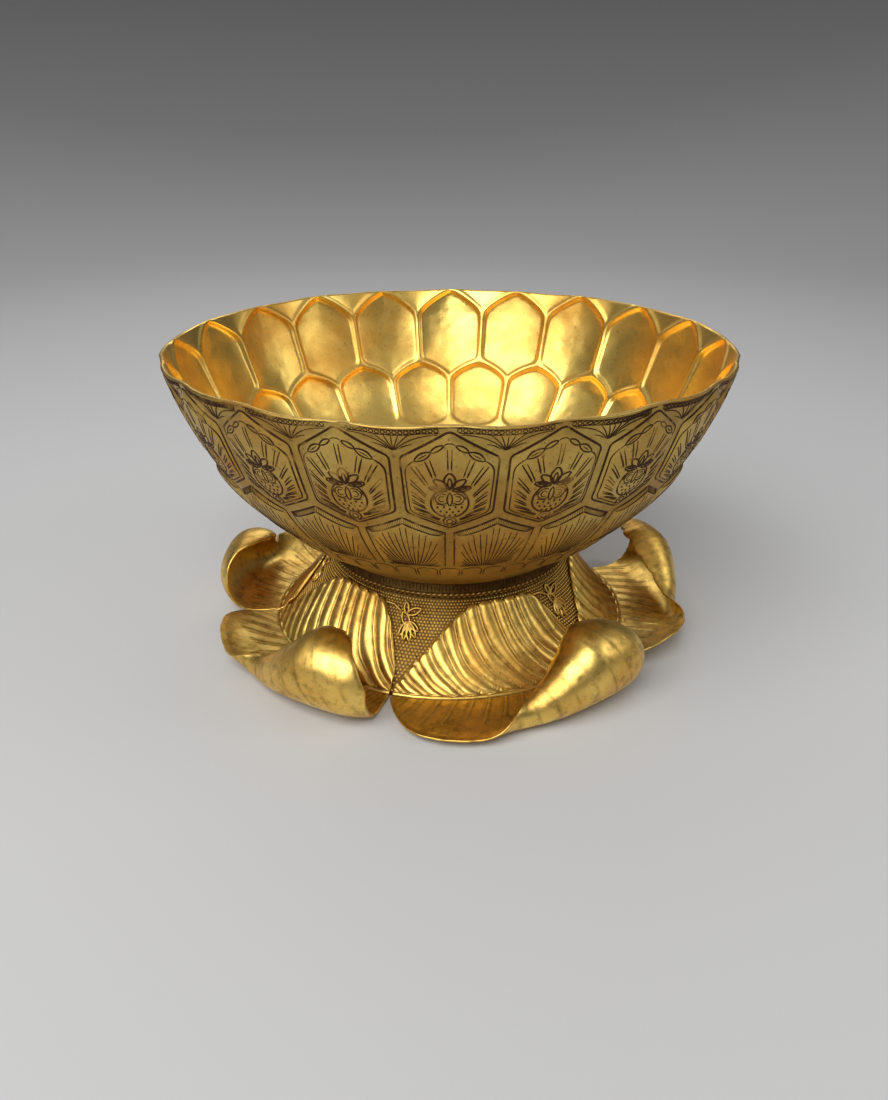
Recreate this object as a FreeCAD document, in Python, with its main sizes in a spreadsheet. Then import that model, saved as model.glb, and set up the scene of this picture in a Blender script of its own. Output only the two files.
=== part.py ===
"""Gilt bronze footed bowl: a hammered lotus bowl on a flared foot wrapped in curled lotus leaves.

Frame: +Z up, origin on the surface that the bowl stands on, on the bowl's axis.
The front of the bowl faces -Y. Lengths are millimetres and angles are degrees.
"""

import FreeCAD, Part
import math
import os

import Sketcher

# Driving dimensions: alias, value, what it sets.
DIMENSIONS = [
    ("RimRadius", 80.0, "radius of the mouth at its rim"),
    ("RimHeight", 88.0, "height of the rim above the surface"),
    ("SeatRadius", 38.0, "radius of the flat seat under the bowl"),
    ("SeatHeight", 28.0, "height of that seat above the surface"),
    ("BowlWall", 1.2, "thickness of the hammered bowl"),
    ("PetalCount", 20.0, "petals in each of the two rows"),
    ("PetalRelief", 1.5, "how far a petal swells out of the wall"),
    ("NeckRadius", 36.0, "outer radius at the top of the foot"),
    ("CollarHeight", 5.0, "height of the collar, between the foot and the seat"),
    ("BaseRadius", 54.0, "outer radius of the foot where it stands"),
    ("WaistHeight", 12.0, "height at which the foot's flare bends outwards"),
    ("FlareHollow", 1.2, "how far that bend lies inside a straight flare"),
    ("FootWall", 1.6, "thickness of the foot at its neck and at the bend"),
    ("RestWidth", 3.2, "width of the flat edge that the foot stands on"),
    ("CollarStep", 0.6, "how far the collar stands out of the neck"),
    ("CollarWall", 2.0, "thickness of the collar"),
    ("BeadHeight", 1.6, "height of the bead round the collar"),
    ("LeafSheet", 1.0, "thickness of the leaves' sheet"),
    ("LeafSeat", 0.2, "clearance between a leaf and the foot"),
    ("LeafLift", 0.4, "clearance between a leaf and the surface"),
    ("LeafDrop", 1.4, "how far below the top of the foot a leaf reaches"),
    ("FoldRadius", 2.5, "radius of the fold along a leaf's midrib"),
    ("FlangeLength", 8.5, "flat run from the fold to the curl"),
    ("CurlLength", 40.0, "longest curled run beyond the flange"),
    ("CurlAngle", 212.0, "most that a leaf's edge curls over"),
    ("EdgeRise", 24.0, "steepest rise of a leaf's open end"),
    ("LeafSpan", 66.0, "angle that a leaf takes round the foot"),
]

# Dimensions that follow from the driving ones: alias, formula, what it is.
DERIVED_DIMENSIONS = [
    ("NeckHeight", "=SeatHeight - CollarHeight", "height of the top of the foot"),
    ("LeafTopHeight", "=NeckHeight - LeafDrop", "height that a leaf reaches up the foot"),
]

# Bowl sections from the rim to the seat: radius share and height share between seat and rim,
# share of the pitch taken by the upper petal, relief share of the upper and of the lower petal.
BOWL_SECTION_SHARES = [
    (1.000, 1.000, 0.12, 0.30, 0.30),
    (0.926, 0.865, 0.92, 0.65, 0.00),
    (0.855, 0.727, 0.92, 1.00, 0.00),
    (0.776, 0.588, 0.92, 0.75, 0.00),
    (0.714, 0.502, 0.08, 0.00, 0.65),
    (0.595, 0.375, 0.08, 0.00, 1.00),
    (0.429, 0.240, 0.08, 0.00, 0.60),
    (0.286, 0.140, 0.08, 0.00, 0.00),
    (0.143, 0.077, 0.08, 0.00, 0.00),
    (0.000, 0.000, 0.08, 0.00, 0.00),
]

# Leaf sections from the tip to the stalk end: share of the span, share of the height up the foot,
# flange share, curled length share, curl angle share, share of the edge rise.
LEAF_SECTION_SHARES = [
    (0.000, 0.04, 0.10, 0.02, 0.00, 0.6),
    (0.060, 0.26, 0.70, 0.10, 0.02, 1.0),
    (0.150, 0.52, 1.00, 0.22, 0.05, 1.0),
    (0.270, 0.80, 1.00, 0.26, 0.08, 0.8),
    (0.390, 0.97, 1.00, 0.28, 0.13, 0.5),
    (0.480, 1.00, 1.00, 0.38, 0.32, 0.2),
    (0.560, 1.00, 1.00, 0.64, 0.66, 0.0),
    (0.660, 1.00, 1.00, 0.92, 0.95, 0.0),
    (0.770, 1.00, 1.00, 1.00, 1.00, 0.0),
    (0.870, 0.90, 1.00, 0.86, 0.88, 0.0),
    (0.940, 0.62, 1.00, 0.60, 0.62, 0.0),
    (1.000, 0.22, 0.80, 0.26, 0.30, 0.0),
]
ROLL_SPAN_SHARE = 0.77

# Leaves: name, direction of the roll from the front towards +X, share of the edge rise it takes.
LEAVES = [
    ("leaf_front_right", 34.0, 0.1),
    ("leaf_front_left", -33.0, 0.9),
    ("leaf_left", -100.0, 1.0),
    ("leaf_back", 180.0, 1.0),
    ("leaf_right", 100.0, 1.0),
]

# Chords that round a form: across one petal, down the foot, round the fold and round the curl.
PETAL_STEPS = 4
CONE_STEPS = 2
FOLD_STEPS = 2
CURL_STEPS = 7


def fill_sheet(doc):
    """The spreadsheet that holds the driving dimensions and those that follow from them."""
    sheet = doc.addObject("Spreadsheet::Sheet", "Dimensions")
    for row, (alias, value, meaning) in enumerate(DIMENSIONS + DERIVED_DIMENSIONS, start=1):
        sheet.set("A%d" % row, alias)
        sheet.set("B%d" % row, str(value))
        sheet.set("C%d" % row, meaning)
        sheet.setAlias("B%d" % row, alias)
    doc.recompute()
    return sheet


def on_circle(radius, degrees, height):
    """A point at an angle counted from the front of the bowl towards +X."""
    angle = math.radians(degrees)
    return FreeCAD.Vector(radius * math.sin(angle), -radius * math.cos(angle), height)


def triangle(first, second, third):
    """A flat face on three corners."""
    return Part.Face(Part.makePolygon([first, second, third, first]))


def closed_skin(rings):
    """A solid whose skin joins each flat ring of corners to the next, with both ends closed."""
    faces = [Part.Face(Part.makePolygon(ring + ring[:1])) for ring in (rings[0], rings[-1])]
    for ring, following in zip(rings, rings[1:]):
        for index in range(len(ring)):
            after = (index + 1) % len(ring)
            faces.append(triangle(ring[index], ring[after], following[after]))
            faces.append(triangle(ring[index], following[after], following[index]))
    solid = Part.Solid(Part.Shell(faces))
    if solid.Volume < 0:
        solid.reverse()
    return solid


# Bowl


def bowl_outline(sheet):
    """Radius and height of each section of the bowl's outer face, from the rim down."""
    reach = sheet.RimRadius - sheet.SeatRadius
    rise = sheet.RimHeight - sheet.SeatHeight
    return [
        (sheet.SeatRadius + row[0] * reach, sheet.SeatHeight + row[1] * rise)
        for row in BOWL_SECTION_SHARES
    ]


def hollow_outline(sheet):
    """The bowl's outline moved inwards by the wall, square to the face."""
    outline = bowl_outline(sheet)
    inner = []
    for index, (radius, height) in enumerate(outline):
        above = outline[max(index - 1, 0)]
        below = outline[min(index + 1, len(outline) - 1)]
        run, rise = above[0] - below[0], above[1] - below[1]
        slant = math.hypot(run, rise)
        inner.append((
            radius - sheet.BowlWall * rise / slant,
            height + sheet.BowlWall * run / slant,
        ))
    inner[0] = (inner[0][0], sheet.RimHeight)
    inner[-1] = (inner[-1][0], sheet.SeatHeight + sheet.BowlWall)
    return inner


def petal_ring(radius, height, shares, sheet):
    """Corners of one section: a bow of short chords for each upper and each lower petal."""
    pitch = 360.0 / sheet.PetalCount
    upper_share, upper_relief, lower_relief = shares
    corners = []
    for petal in range(int(sheet.PetalCount)):
        centre = petal * pitch
        half = upper_share * pitch / 2
        for start, end, relief in (
            (centre - half, centre + half, upper_relief),
            (centre + half, centre + pitch - half, lower_relief),
        ):
            for step in range(PETAL_STEPS):
                share = step / PETAL_STEPS
                swell = relief * sheet.PetalRelief * 4 * share * (1 - share)
                corners.append(on_circle(radius + swell, start + share * (end - start), height))
    return corners


def make_bowl(doc, sheet):
    """The hammered bowl: skins through petalled sections outside and in, closed at rim and floor."""
    face = [
        petal_ring(radius, height, row[2:], sheet)
        for (radius, height), row in zip(bowl_outline(sheet), BOWL_SECTION_SHARES)
    ]
    hollow = [
        petal_ring(radius, height, row[2:], sheet)
        for (radius, height), row in zip(hollow_outline(sheet), BOWL_SECTION_SHARES)
    ]
    bowl = doc.addObject("Part::Feature", "bowl")
    bowl.Shape = closed_skin(face[::-1] + hollow)
    return bowl


# Collar and foot


def revolve_profile(doc, name, draw):
    """A PartDesign body turned about the bowl's axis from the profile that draw sketches."""
    body = doc.addObject("PartDesign::Body", name)
    sketch = body.newObject("Sketcher::SketchObject", name + "_profile")
    plane = next(item for item in body.Origin.OriginFeatures if item.Role == "XZ_Plane")
    sketch.AttachmentSupport = [(plane, "")]
    sketch.MapMode = "FlatFace"
    draw(sketch)
    doc.recompute()
    turned = body.newObject("PartDesign::Revolution", name + "_turned")
    turned.Profile = (sketch, [""])
    turned.ReferenceAxis = (sketch, ["V_Axis"])
    turned.Angle = 360.0
    body.Tip = turned
    return body


def follow(sketch, kind, places, expression, value):
    """Adds a dimension to a sketch and ties it to the spreadsheet.

    Places are sides and their points: 1 is a side's start, 2 its end, and side -1 has the origin.
    """
    index = sketch.addConstraint(Sketcher.Constraint(kind, *places, value))
    sketch.setExpression("Constraints[%d]" % index, expression)


def close_ring(sketch, sides):
    """Joins the end of each side to the start of the next, all the way round."""
    for side, after in zip(sides, sides[1:] + sides[:1]):
        sketch.addConstraint(Sketcher.Constraint("Coincident", side, 2, after, 1))


def line(start, end):
    """A sketch line between two points of the sketch plane."""
    return Part.LineSegment(FreeCAD.Vector(*start, 0), FreeCAD.Vector(*end, 0))


def foot_waist(sheet):
    """Radius and height of the bend in the foot's outer face."""
    climb = 1 - sheet.WaistHeight / sheet.NeckHeight
    straight = sheet.NeckRadius + (sheet.BaseRadius - sheet.NeckRadius) * climb
    return straight - sheet.FlareHollow, sheet.WaistHeight


def foot_face(sheet, height):
    """Radius of the foot's outer face at a height, and the angle at which the face looks up."""
    high, low = (sheet.NeckRadius, sheet.NeckHeight), foot_waist(sheet)
    if height < sheet.WaistHeight:
        high, low = low, (sheet.BaseRadius, 0.0)
    run, drop = low[0] - high[0], high[1] - low[1]
    return high[0] + run * (high[1] - height) / drop, math.atan2(run, drop)


def make_foot(doc, sheet):
    """The flared foot: a ring, bent outwards at its waist and flat where it stands."""
    neck, waist = (sheet.NeckRadius, sheet.NeckHeight), foot_waist(sheet)
    base = (sheet.BaseRadius, 0.0)
    corners = [
        neck, waist, base,
        (base[0] - sheet.RestWidth, base[1]),
        (waist[0] - sheet.FootWall, waist[1]),
        (neck[0] - sheet.FootWall, neck[1]),
    ]
    waist_radius = (
        "Dimensions.NeckRadius - Dimensions.FlareHollow"
        " + (Dimensions.BaseRadius - Dimensions.NeckRadius)"
        " * (1 - Dimensions.WaistHeight / Dimensions.NeckHeight)"
    )

    def draw(sketch):
        sides = [
            sketch.addGeometry(line(first, second))
            for first, second in zip(corners, corners[1:] + corners[:1])
        ]
        upper, lower, rest, back, neck_back, top = sides
        close_ring(sketch, sides)
        sketch.addConstraint(Sketcher.Constraint("Horizontal", rest))
        sketch.addConstraint(Sketcher.Constraint("Horizontal", top))
        sketch.addConstraint(Sketcher.Constraint("PointOnObject", rest, 1, -1))
        follow(sketch, "DistanceX", (-1, 1, top, 2), "Dimensions.NeckRadius", neck[0])
        follow(sketch, "DistanceY", (-1, 1, top, 2), "Dimensions.NeckHeight", neck[1])
        follow(sketch, "DistanceX", (-1, 1, upper, 2), waist_radius, waist[0])
        follow(sketch, "DistanceY", (-1, 1, upper, 2), "Dimensions.WaistHeight", waist[1])
        follow(sketch, "DistanceY", (-1, 1, back, 2), "Dimensions.WaistHeight", waist[1])
        follow(sketch, "DistanceX", (-1, 1, lower, 2), "Dimensions.BaseRadius", base[0])
        follow(sketch, "DistanceX", (rest, 2, rest, 1), "Dimensions.RestWidth", sheet.RestWidth)
        follow(sketch, "DistanceX", (top, 1, top, 2), "Dimensions.FootWall", sheet.FootWall)
        follow(
            sketch, "DistanceX", (neck_back, 1, upper, 2), "Dimensions.FootWall", sheet.FootWall
        )

    return revolve_profile(doc, "foot_ring", draw)


def make_collar(doc, sheet):
    """The collar between bowl and foot, with a bead at its lower edge."""
    outer = sheet.NeckRadius + sheet.CollarStep
    inner = outer - sheet.CollarWall
    low, high = sheet.NeckHeight, sheet.SeatHeight
    half_bead = sheet.BeadHeight / 2

    def draw(sketch):
        corners = [
            (outer, low),
            (outer + half_bead, low + half_bead),
            (outer, low + sheet.BeadHeight),
            (outer, high),
            (inner, high),
            (inner, low),
        ]
        under, over, face, top, back, base = [
            sketch.addGeometry(line(first, second))
            for first, second in zip(corners, corners[1:] + corners[:1])
        ]
        close_ring(sketch, [under, over, face, top, back, base])
        for upright in (face, back):
            sketch.addConstraint(Sketcher.Constraint("Vertical", upright))
        for level in (top, base):
            sketch.addConstraint(Sketcher.Constraint("Horizontal", level))
        sketch.addConstraint(Sketcher.Constraint("Vertical", under, 1, over, 2))
        follow(
            sketch, "DistanceX", (-1, 1, under, 1),
            "Dimensions.NeckRadius + Dimensions.CollarStep", outer,
        )
        follow(sketch, "DistanceY", (-1, 1, under, 1), "Dimensions.NeckHeight", low)
        follow(sketch, "DistanceY", (-1, 1, face, 2), "Dimensions.SeatHeight", high)
        follow(sketch, "DistanceX", (top, 2, top, 1), "Dimensions.CollarWall", outer - inner)
        for way in ("DistanceX", "DistanceY"):
            follow(sketch, way, (under, 1, under, 2), "Dimensions.BeadHeight / 2", half_bead)
        follow(
            sketch, "DistanceY", (under, 1, over, 2),
            "Dimensions.BeadHeight", sheet.BeadHeight,
        )

    return revolve_profile(doc, "neck_collar", draw)


# Leaves


def leaf_path(sheet, shares, rise_share):
    """Middle line of a leaf's sheet in one upright plane, and its direction at each point.

    It runs down the foot, turns at the fold, and goes out along the flange into the curl.
    """
    _, up_share, flange_share, curl_share, turn_share, edge_share = shares
    half_sheet = sheet.LeafSheet / 2
    gap = sheet.LeafSeat + half_sheet
    low = sheet.LeafLift + half_sheet
    steepest = foot_face(sheet, low)[1] - math.pi / 2
    fold_low = low + sheet.FoldRadius * (1 - math.cos(steepest)) - gap * math.cos(steepest)
    fold_high = fold_low + up_share * (sheet.LeafTopHeight - fold_low)
    path = []
    for step in range(CONE_STEPS + 1):
        height = fold_high + (fold_low - fold_high) * step / CONE_STEPS
        radius, outward = foot_face(sheet, height)
        path.append((
            radius + gap * math.cos(outward),
            height + gap * math.sin(outward),
            outward - math.pi / 2,
        ))
    radius, height, heading = path[-1]
    rise = math.radians(sheet.EdgeRise) * edge_share * rise_share
    turn = (rise - heading) / FOLD_STEPS
    for _ in range(FOLD_STEPS):
        heading += turn / 2
        radius += sheet.FoldRadius * turn * math.cos(heading)
        height += sheet.FoldRadius * turn * math.sin(heading)
        heading += turn / 2
        path.append((radius, height, heading))
    flange = flange_share * sheet.FlangeLength
    radius, height = radius + flange * math.cos(heading), height + flange * math.sin(heading)
    path.append((radius, height, heading))
    step = curl_share * sheet.CurlLength / CURL_STEPS
    turn = math.radians(sheet.CurlAngle) * turn_share / CURL_STEPS
    for _ in range(CURL_STEPS):
        heading += turn / 2
        radius, height = radius + step * math.cos(heading), height + step * math.sin(heading)
        heading += turn / 2
        path.append((radius, height, heading))
    return path


def leaf_ring(sheet, shares, roll_angle, rise_share):
    """Corners of one section of a leaf: its middle line moved to both faces of the sheet."""
    angle = roll_angle + (shares[0] - ROLL_SPAN_SHARE) * sheet.LeafSpan
    path = leaf_path(sheet, shares, rise_share)
    faces = []
    for side in (1, -1):
        offset = side * sheet.LeafSheet / 2
        faces.append([
            on_circle(
                radius - offset * math.sin(heading), angle, height + offset * math.cos(heading)
            )
            for radius, height, heading in path
        ])
    upper, lower = faces
    return upper + lower[::-1]


def make_leaf(doc, sheet, name, roll_angle, rise_share):
    """One curled lotus leaf: a skin through its sections from the tip to the stalk end."""
    rings = [leaf_ring(sheet, row, roll_angle, rise_share) for row in LEAF_SECTION_SHARES]
    leaf = doc.addObject("Part::Feature", name)
    leaf.Shape = closed_skin(rings)
    return leaf


def check_and_write(doc, parts):
    """Stops at a failed object or a bad solid, then writes one STEP file for each piece."""
    for item in doc.Objects:
        if "Invalid" in item.State or "Error" in item.State:
            raise RuntimeError("%s did not compute: %s" % (item.Name, item.State))
    os.makedirs("parts", exist_ok=True)
    for piece in parts:
        shape = piece.Shape
        if shape.isNull() or not shape.isValid() or not shape.Solids:
            raise RuntimeError("%s has no valid solid" % piece.Label)
        shape.exportStep(os.path.join("parts", piece.Label + ".step"))
        print("%-18s %9.1f mm3  %d solid, %d faces" % (
            piece.Label, shape.Volume, len(shape.Solids), len(shape.Faces),
        ))


def main():
    doc = FreeCAD.newDocument("FootedBowl")
    sheet = fill_sheet(doc)
    parts = [
        make_bowl(doc, sheet),
        make_collar(doc, sheet),
        make_foot(doc, sheet),
    ]
    for name, roll_angle, rise_share in LEAVES:
        parts.append(make_leaf(doc, sheet, name, roll_angle, rise_share))
    doc.recompute()
    check_and_write(doc, parts)


main()
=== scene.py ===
import math

import bpy
import numpy as np
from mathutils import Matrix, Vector


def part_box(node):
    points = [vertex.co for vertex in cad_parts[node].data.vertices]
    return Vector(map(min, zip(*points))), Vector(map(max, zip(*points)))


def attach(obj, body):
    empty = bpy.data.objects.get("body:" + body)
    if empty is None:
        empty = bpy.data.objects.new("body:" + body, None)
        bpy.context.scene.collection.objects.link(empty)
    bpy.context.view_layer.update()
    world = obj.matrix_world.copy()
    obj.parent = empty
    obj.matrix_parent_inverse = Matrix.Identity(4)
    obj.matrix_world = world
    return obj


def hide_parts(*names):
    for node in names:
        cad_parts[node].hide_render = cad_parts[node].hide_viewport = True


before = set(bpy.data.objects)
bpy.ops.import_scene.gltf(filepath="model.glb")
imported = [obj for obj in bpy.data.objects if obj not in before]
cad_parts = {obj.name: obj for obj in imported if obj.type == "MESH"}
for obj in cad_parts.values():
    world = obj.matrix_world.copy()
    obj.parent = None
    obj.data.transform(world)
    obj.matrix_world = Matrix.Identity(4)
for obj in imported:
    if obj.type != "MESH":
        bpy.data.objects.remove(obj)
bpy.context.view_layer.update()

bl_info = {
    "name": "Gilt Lotus Bowl",
    "version": (1, 0, 0),
    "blender": (4, 5, 0),
    "location": "3D View > Sidebar > Lotus Bowl",
    "description": "Builds a chased and gilded lotus bowl on a foot of curled leaves",
    "category": "Object",
}

BOWL_LOW, BOWL_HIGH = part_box("bowl")
FOOT_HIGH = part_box("foot_ring")[1]
COLLAR_LOW, COLLAR_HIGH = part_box("neck_collar")

# Outline of the bowl from the rim to the seat, as shares of the reach and rise between the two
BOWL_RADIUS_SHARES = (1.0, 0.926, 0.855, 0.776, 0.714, 0.595, 0.429, 0.286, 0.143, 0.0)
BOWL_HEIGHT_SHARES = (1.0, 0.865, 0.727, 0.588, 0.502, 0.375, 0.240, 0.140, 0.077, 0.0)

# A leaf from its tip to the stalk end: share of the span, height up the foot, flange width,
# length of the curled edge, angle that it curls through, and rise of the open end
LEAF_SECTION_SHARES = (
    (0.000, 0.04, 0.06, 0.02, 0.00, 0.6),
    (0.060, 0.26, 0.44, 0.08, 0.02, 1.0),
    (0.150, 0.52, 0.80, 0.15, 0.04, 1.0),
    (0.270, 0.80, 0.98, 0.155, 0.06, 0.8),
    (0.370, 0.95, 1.00, 0.16, 0.10, 0.5),
    (0.430, 0.99, 1.00, 0.18, 0.34, 0.3),
    (0.480, 1.00, 0.98, 0.23, 0.70, 0.1),
    (0.530, 1.00, 0.95, 0.32, 0.90, 0.0),
    (0.600, 1.00, 0.88, 0.52, 0.96, 0.0),
    (0.680, 1.00, 0.76, 0.78, 1.00, 0.0),
    (0.770, 1.00, 0.64, 1.00, 1.00, 0.0),
    (0.860, 0.90, 0.63, 0.94, 0.96, 0.0),
    (0.930, 0.64, 0.63, 0.74, 0.80, 0.0),
    (1.000, 0.22, 0.50, 0.42, 0.50, 0.0),
)

# Where along a leaf's span its roll is fullest
ROLL_SPAN_SHARE = 0.77

# Leaves: node, direction of the roll from the front towards +X, share of the open end's rise
LEAVES = (
    ("leaf_front_right", 34.0, 0.1),
    ("leaf_front_left", -33.0, 0.9),
    ("leaf_left", -100.0, 1.0),
    ("leaf_back", 180.0, 1.0),
    ("leaf_right", 100.0, 1.0),
)

# How crisp the petals' edges are on the chased face and on the burnished inside
CHASED_CRISP, BURNISHED_CRISP = 0.25, 1.0

# Points round the bowl for each petal, rings over the petals and under them, and the number of
# triangles that the bowl is thinned to
PETAL_COLUMNS, PETAL_RINGS, UNDER_RINGS, BOWL_TRIANGLES = 48, 92, 8, 190000

# Points on a leaf's sheet: along its midrib, then across the foot, fold, flange and curl
LEAF_COLUMNS, LEAF_ROWS = 240, (58, 8, 24, 50)

# Distances along a leaf are measured at this radius.
MIDRIB_RADIUS = 0.052

# Distance from rib to rib inside a leaf's midrib, and from vein to vein outside it
RIB_PITCH, VEIN_PITCH = 0.0052, 0.0043

# The camera of the photograph, with its focal length and sideways shift in pixels
PHOTO_HEIGHT, PHOTO_FOCAL, PHOTO_SHIFT = 1100, 900, -5.7
CAMERA_PLACE, CAMERA_TILT = (0.0, -0.2586, 0.1462), 64.0

# Points round each rounded corner of a chased frame
CORNER_POINTS = 7

# The collar's band stands this far out of the neck.
COLLAR_PROUD = 0.0006


# Sizes and colours that a user would change


def length(name, description, default):
    return bpy.props.FloatProperty(
        name=name, description=description, default=default, min=0.0,
        subtype="DISTANCE", unit="LENGTH", precision=5,
    )


def turn(name, description, degrees):
    return bpy.props.FloatProperty(
        name=name, description=description, default=math.radians(degrees),
        subtype="ANGLE", unit="ROTATION",
    )


def colour(name, description, default):
    return bpy.props.FloatVectorProperty(
        name=name, description=description, default=default, size=3,
        min=0.0, max=1.0, subtype="COLOR",
    )


class BowlSizes(bpy.types.PropertyGroup):
    rim_radius: length("Rim Radius", "Radius of the mouth", 0.080)
    rim_height: length("Rim Height", "Height of the rim", BOWL_HIGH.z)
    seat_radius: length("Seat Radius", "Radius of the flat seat under the bowl", 0.038)
    seat_height: length("Seat Height", "Height of that seat", BOWL_LOW.z)
    wall: length("Wall", "Thickness of the hammered sheet", 0.0011)
    petals: bpy.props.IntProperty(
        name="Petals", description="Petals in each row", default=20, min=6, max=40
    )
    shoulder_height: length("Shoulder Height", "Where an upper petal is widest", 0.0799)
    joint_height: length("Joint Height", "Where upper petals part, at a lower petal's tip", 0.0633)
    tip_height: length("Tip Height", "Lowest point of an upper petal", 0.0581)
    lower_end_height: length("Lower End Height", "Where the lower petals end", 0.0424)
    upper_relief: length("Upper Relief", "How far an upper petal swells", 0.0017)
    lower_relief: length("Lower Relief", "How far a lower petal swells", 0.0015)
    spandrel_relief: length("Spandrel Relief", "Swell between petal tips at the rim", 0.0007)
    rib_width: length("Rib Width", "Half the flat rib between neighbouring petals", 0.0012)


class FootSizes(bpy.types.PropertyGroup):
    neck_radius: length("Neck Radius", "Outer radius at the top of the foot", 0.036)
    waist_radius: length("Waist Radius", "Outer radius halfway up the foot", 0.0434)
    waist_height: length("Waist Height", "Height of that radius", 0.012)
    base_radius: length("Base Radius", "Outer radius where the foot stands", 0.054)
    neck_wall: length("Neck Wall", "Thickness at the neck", 0.0016)
    rest_width: length("Rest Width", "Width of the edge that the foot stands on", 0.0032)


class LeafSizes(bpy.types.PropertyGroup):
    sheet: length("Sheet", "Thickness of a leaf", 0.0009)
    seat: length("Seat", "Clearance between a leaf and the foot", 0.0003)
    lift: length("Lift", "Clearance under a leaf", 0.0005)
    top_height: length("Top Height", "How high a leaf reaches up the foot", 0.0216)
    fold_radius: length("Fold Radius", "Radius of the fold along the midrib", 0.0025)
    flange: length("Flange", "Longest flat run from the fold to the curl", 0.0135)
    curl_length: length("Curl Length", "Longest curled run", 0.040)
    curl_angle: turn("Curl Angle", "Most that an edge curls over", 212.0)
    edge_rise: turn("Edge Rise", "Steepest rise of the open end", 24.0)
    span: turn("Span", "Angle that a leaf takes round the foot", 66.0)


class Finish(bpy.types.PropertyGroup):
    gold: colour("Gold", "Gilding where it is bright", (0.94, 0.66, 0.17))
    aged_gold: colour("Aged Gold", "Gilding where it is rubbed and warm", (0.74, 0.42, 0.085))
    patina: colour("Patina", "Brown that has settled in the chasing", (0.070, 0.030, 0.011))
    floor: colour("Floor", "Colour of the studio floor", (0.60, 0.60, 0.60))
    # The painted shade on the backdrop also fades the floor towards this grey, outward from the
    # bowl.
    backdrop: colour("Backdrop", "Colour of the backdrop's top", (0.16, 0.16, 0.16))


# Curves and meshes


def smooth_track(at, knots, values):
    """A curve through the knots that never overshoots them."""
    knots, values = np.asarray(knots, float), np.asarray(values, float)
    steps = np.diff(knots)
    slopes = np.diff(values) / steps
    tangents = np.zeros_like(values)
    tangents[0], tangents[-1] = slopes[0], slopes[-1]
    same_way = slopes[:-1] * slopes[1:] > 0
    before, after = 2 * steps[1:] + steps[:-1], steps[1:] + 2 * steps[:-1]
    with np.errstate(divide="ignore", invalid="ignore"):
        mean = (before + after) / (before / slopes[:-1] + after / slopes[1:])
    tangents[1:-1] = np.where(same_way, mean, 0.0)
    at = np.asarray(at, float)
    span = np.clip(np.searchsorted(knots, at, side="right") - 1, 0, len(knots) - 2)
    step = steps[span]
    part = np.clip((at - knots[span]) / step, 0.0, 1.0)
    rest = 1 - part
    return (
        values[span] * (1 + 2 * part) * rest ** 2
        + values[span + 1] * (1 + 2 * rest) * part ** 2
        + tangents[span] * step * part * rest ** 2
        - tangents[span + 1] * step * rest * part ** 2
    )


def around(radius, angle, height):
    """Points at an angle counted from the front of the bowl towards +X."""
    radius, angle, height = np.broadcast_arrays(radius, angle, height)
    return np.stack((radius * np.sin(angle), -radius * np.cos(angle), height), axis=-1)


def new_piece(name, vertices, faces, material, fields=None):
    """A mesh object in the scene, with named values on its points."""
    mesh = bpy.data.meshes.new(name)
    mesh.from_pydata(np.asarray(vertices).tolist(), [], faces)
    for field, values in (fields or {}).items():
        layer = mesh.attributes.new(field, "FLOAT", "POINT")
        layer.data.foreach_set("value", np.asarray(values, np.float32).ravel())
    mesh.polygons.foreach_set("use_smooth", [True] * len(mesh.polygons))
    mesh.materials.append(material)
    mesh.validate()
    mesh.update()
    piece = bpy.data.objects.new(name, mesh)
    bpy.context.scene.collection.objects.link(piece)
    return piece


def ring_faces(rows, columns):
    """Quads between rings that each close on themselves."""
    faces = []
    for row in range(rows - 1):
        low = row * columns
        for column in range(columns):
            after = (column + 1) % columns
            faces.append((low + column, low + after, low + columns + after, low + columns + column))
    return faces


def ride_root(piece, slot, *nodes):
    """Every piece rides on the one body, and stands for the CAD nodes named."""
    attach(piece, "root")
    if nodes:
        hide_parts(*nodes)
    return piece


# Nodes


def add_node(tree, kind, **settings):
    """A node with its settings; names that start with in_ set the sockets at that number."""
    node = tree.nodes.new(kind)
    for key, value in settings.items():
        if key.startswith("in_"):
            node.inputs[int(key[3:])].default_value = value
        else:
            setattr(node, key, value)
    return node


def maths(tree, operation, *values, clamp=False):
    """The output of a maths node. Each value is a number or another node's output."""
    node = add_node(tree, "ShaderNodeMath", operation=operation, use_clamp=clamp)
    for number, value in enumerate(values):
        if isinstance(value, bpy.types.NodeSocket):
            tree.links.new(value, node.inputs[number])
        else:
            node.inputs[number].default_value = value
    return node.outputs[0]


def ranged(tree, value, low, high, first=0.0, last=1.0):
    """A value that runs from first to last while the one given runs from low to high."""
    node = add_node(tree, "ShaderNodeMapRange", in_1=low, in_2=high, in_3=first, in_4=last)
    tree.links.new(value, node.inputs["Value"])
    return node.outputs["Result"]


def mixed(tree, factor, first, second):
    """The output of a node that mixes two colours, each a colour or another node's output."""
    node = add_node(tree, "ShaderNodeMix", data_type="RGBA")
    tree.links.new(factor, node.inputs["Factor"])
    for label, given in (("A", first), ("B", second)):
        if isinstance(given, bpy.types.NodeSocket):
            tree.links.new(given, node.inputs[label])
        else:
            node.inputs[label].default_value = (*given, 1.0)
    return node.outputs["Result"]


def new_group(name, kind, inputs, outputs):
    """A node group with its sockets. inputs and outputs are (name, socket type, default)."""
    tree = bpy.data.node_groups.new(name, kind)
    for label, socket, default in inputs:
        made = tree.interface.new_socket(label, in_out="INPUT", socket_type=socket)
        if default is not None:
            made.default_value = default
    for label, socket in outputs:
        tree.interface.new_socket(label, in_out="OUTPUT", socket_type=socket)
    return tree, tree.nodes.new("NodeGroupInput").outputs, tree.nodes.new("NodeGroupOutput").inputs


def group_once(name, build):
    """The node group of that name, built the first time that it is asked for."""
    return bpy.data.node_groups.get(name) or build(name)


# Shader groups and materials


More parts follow.
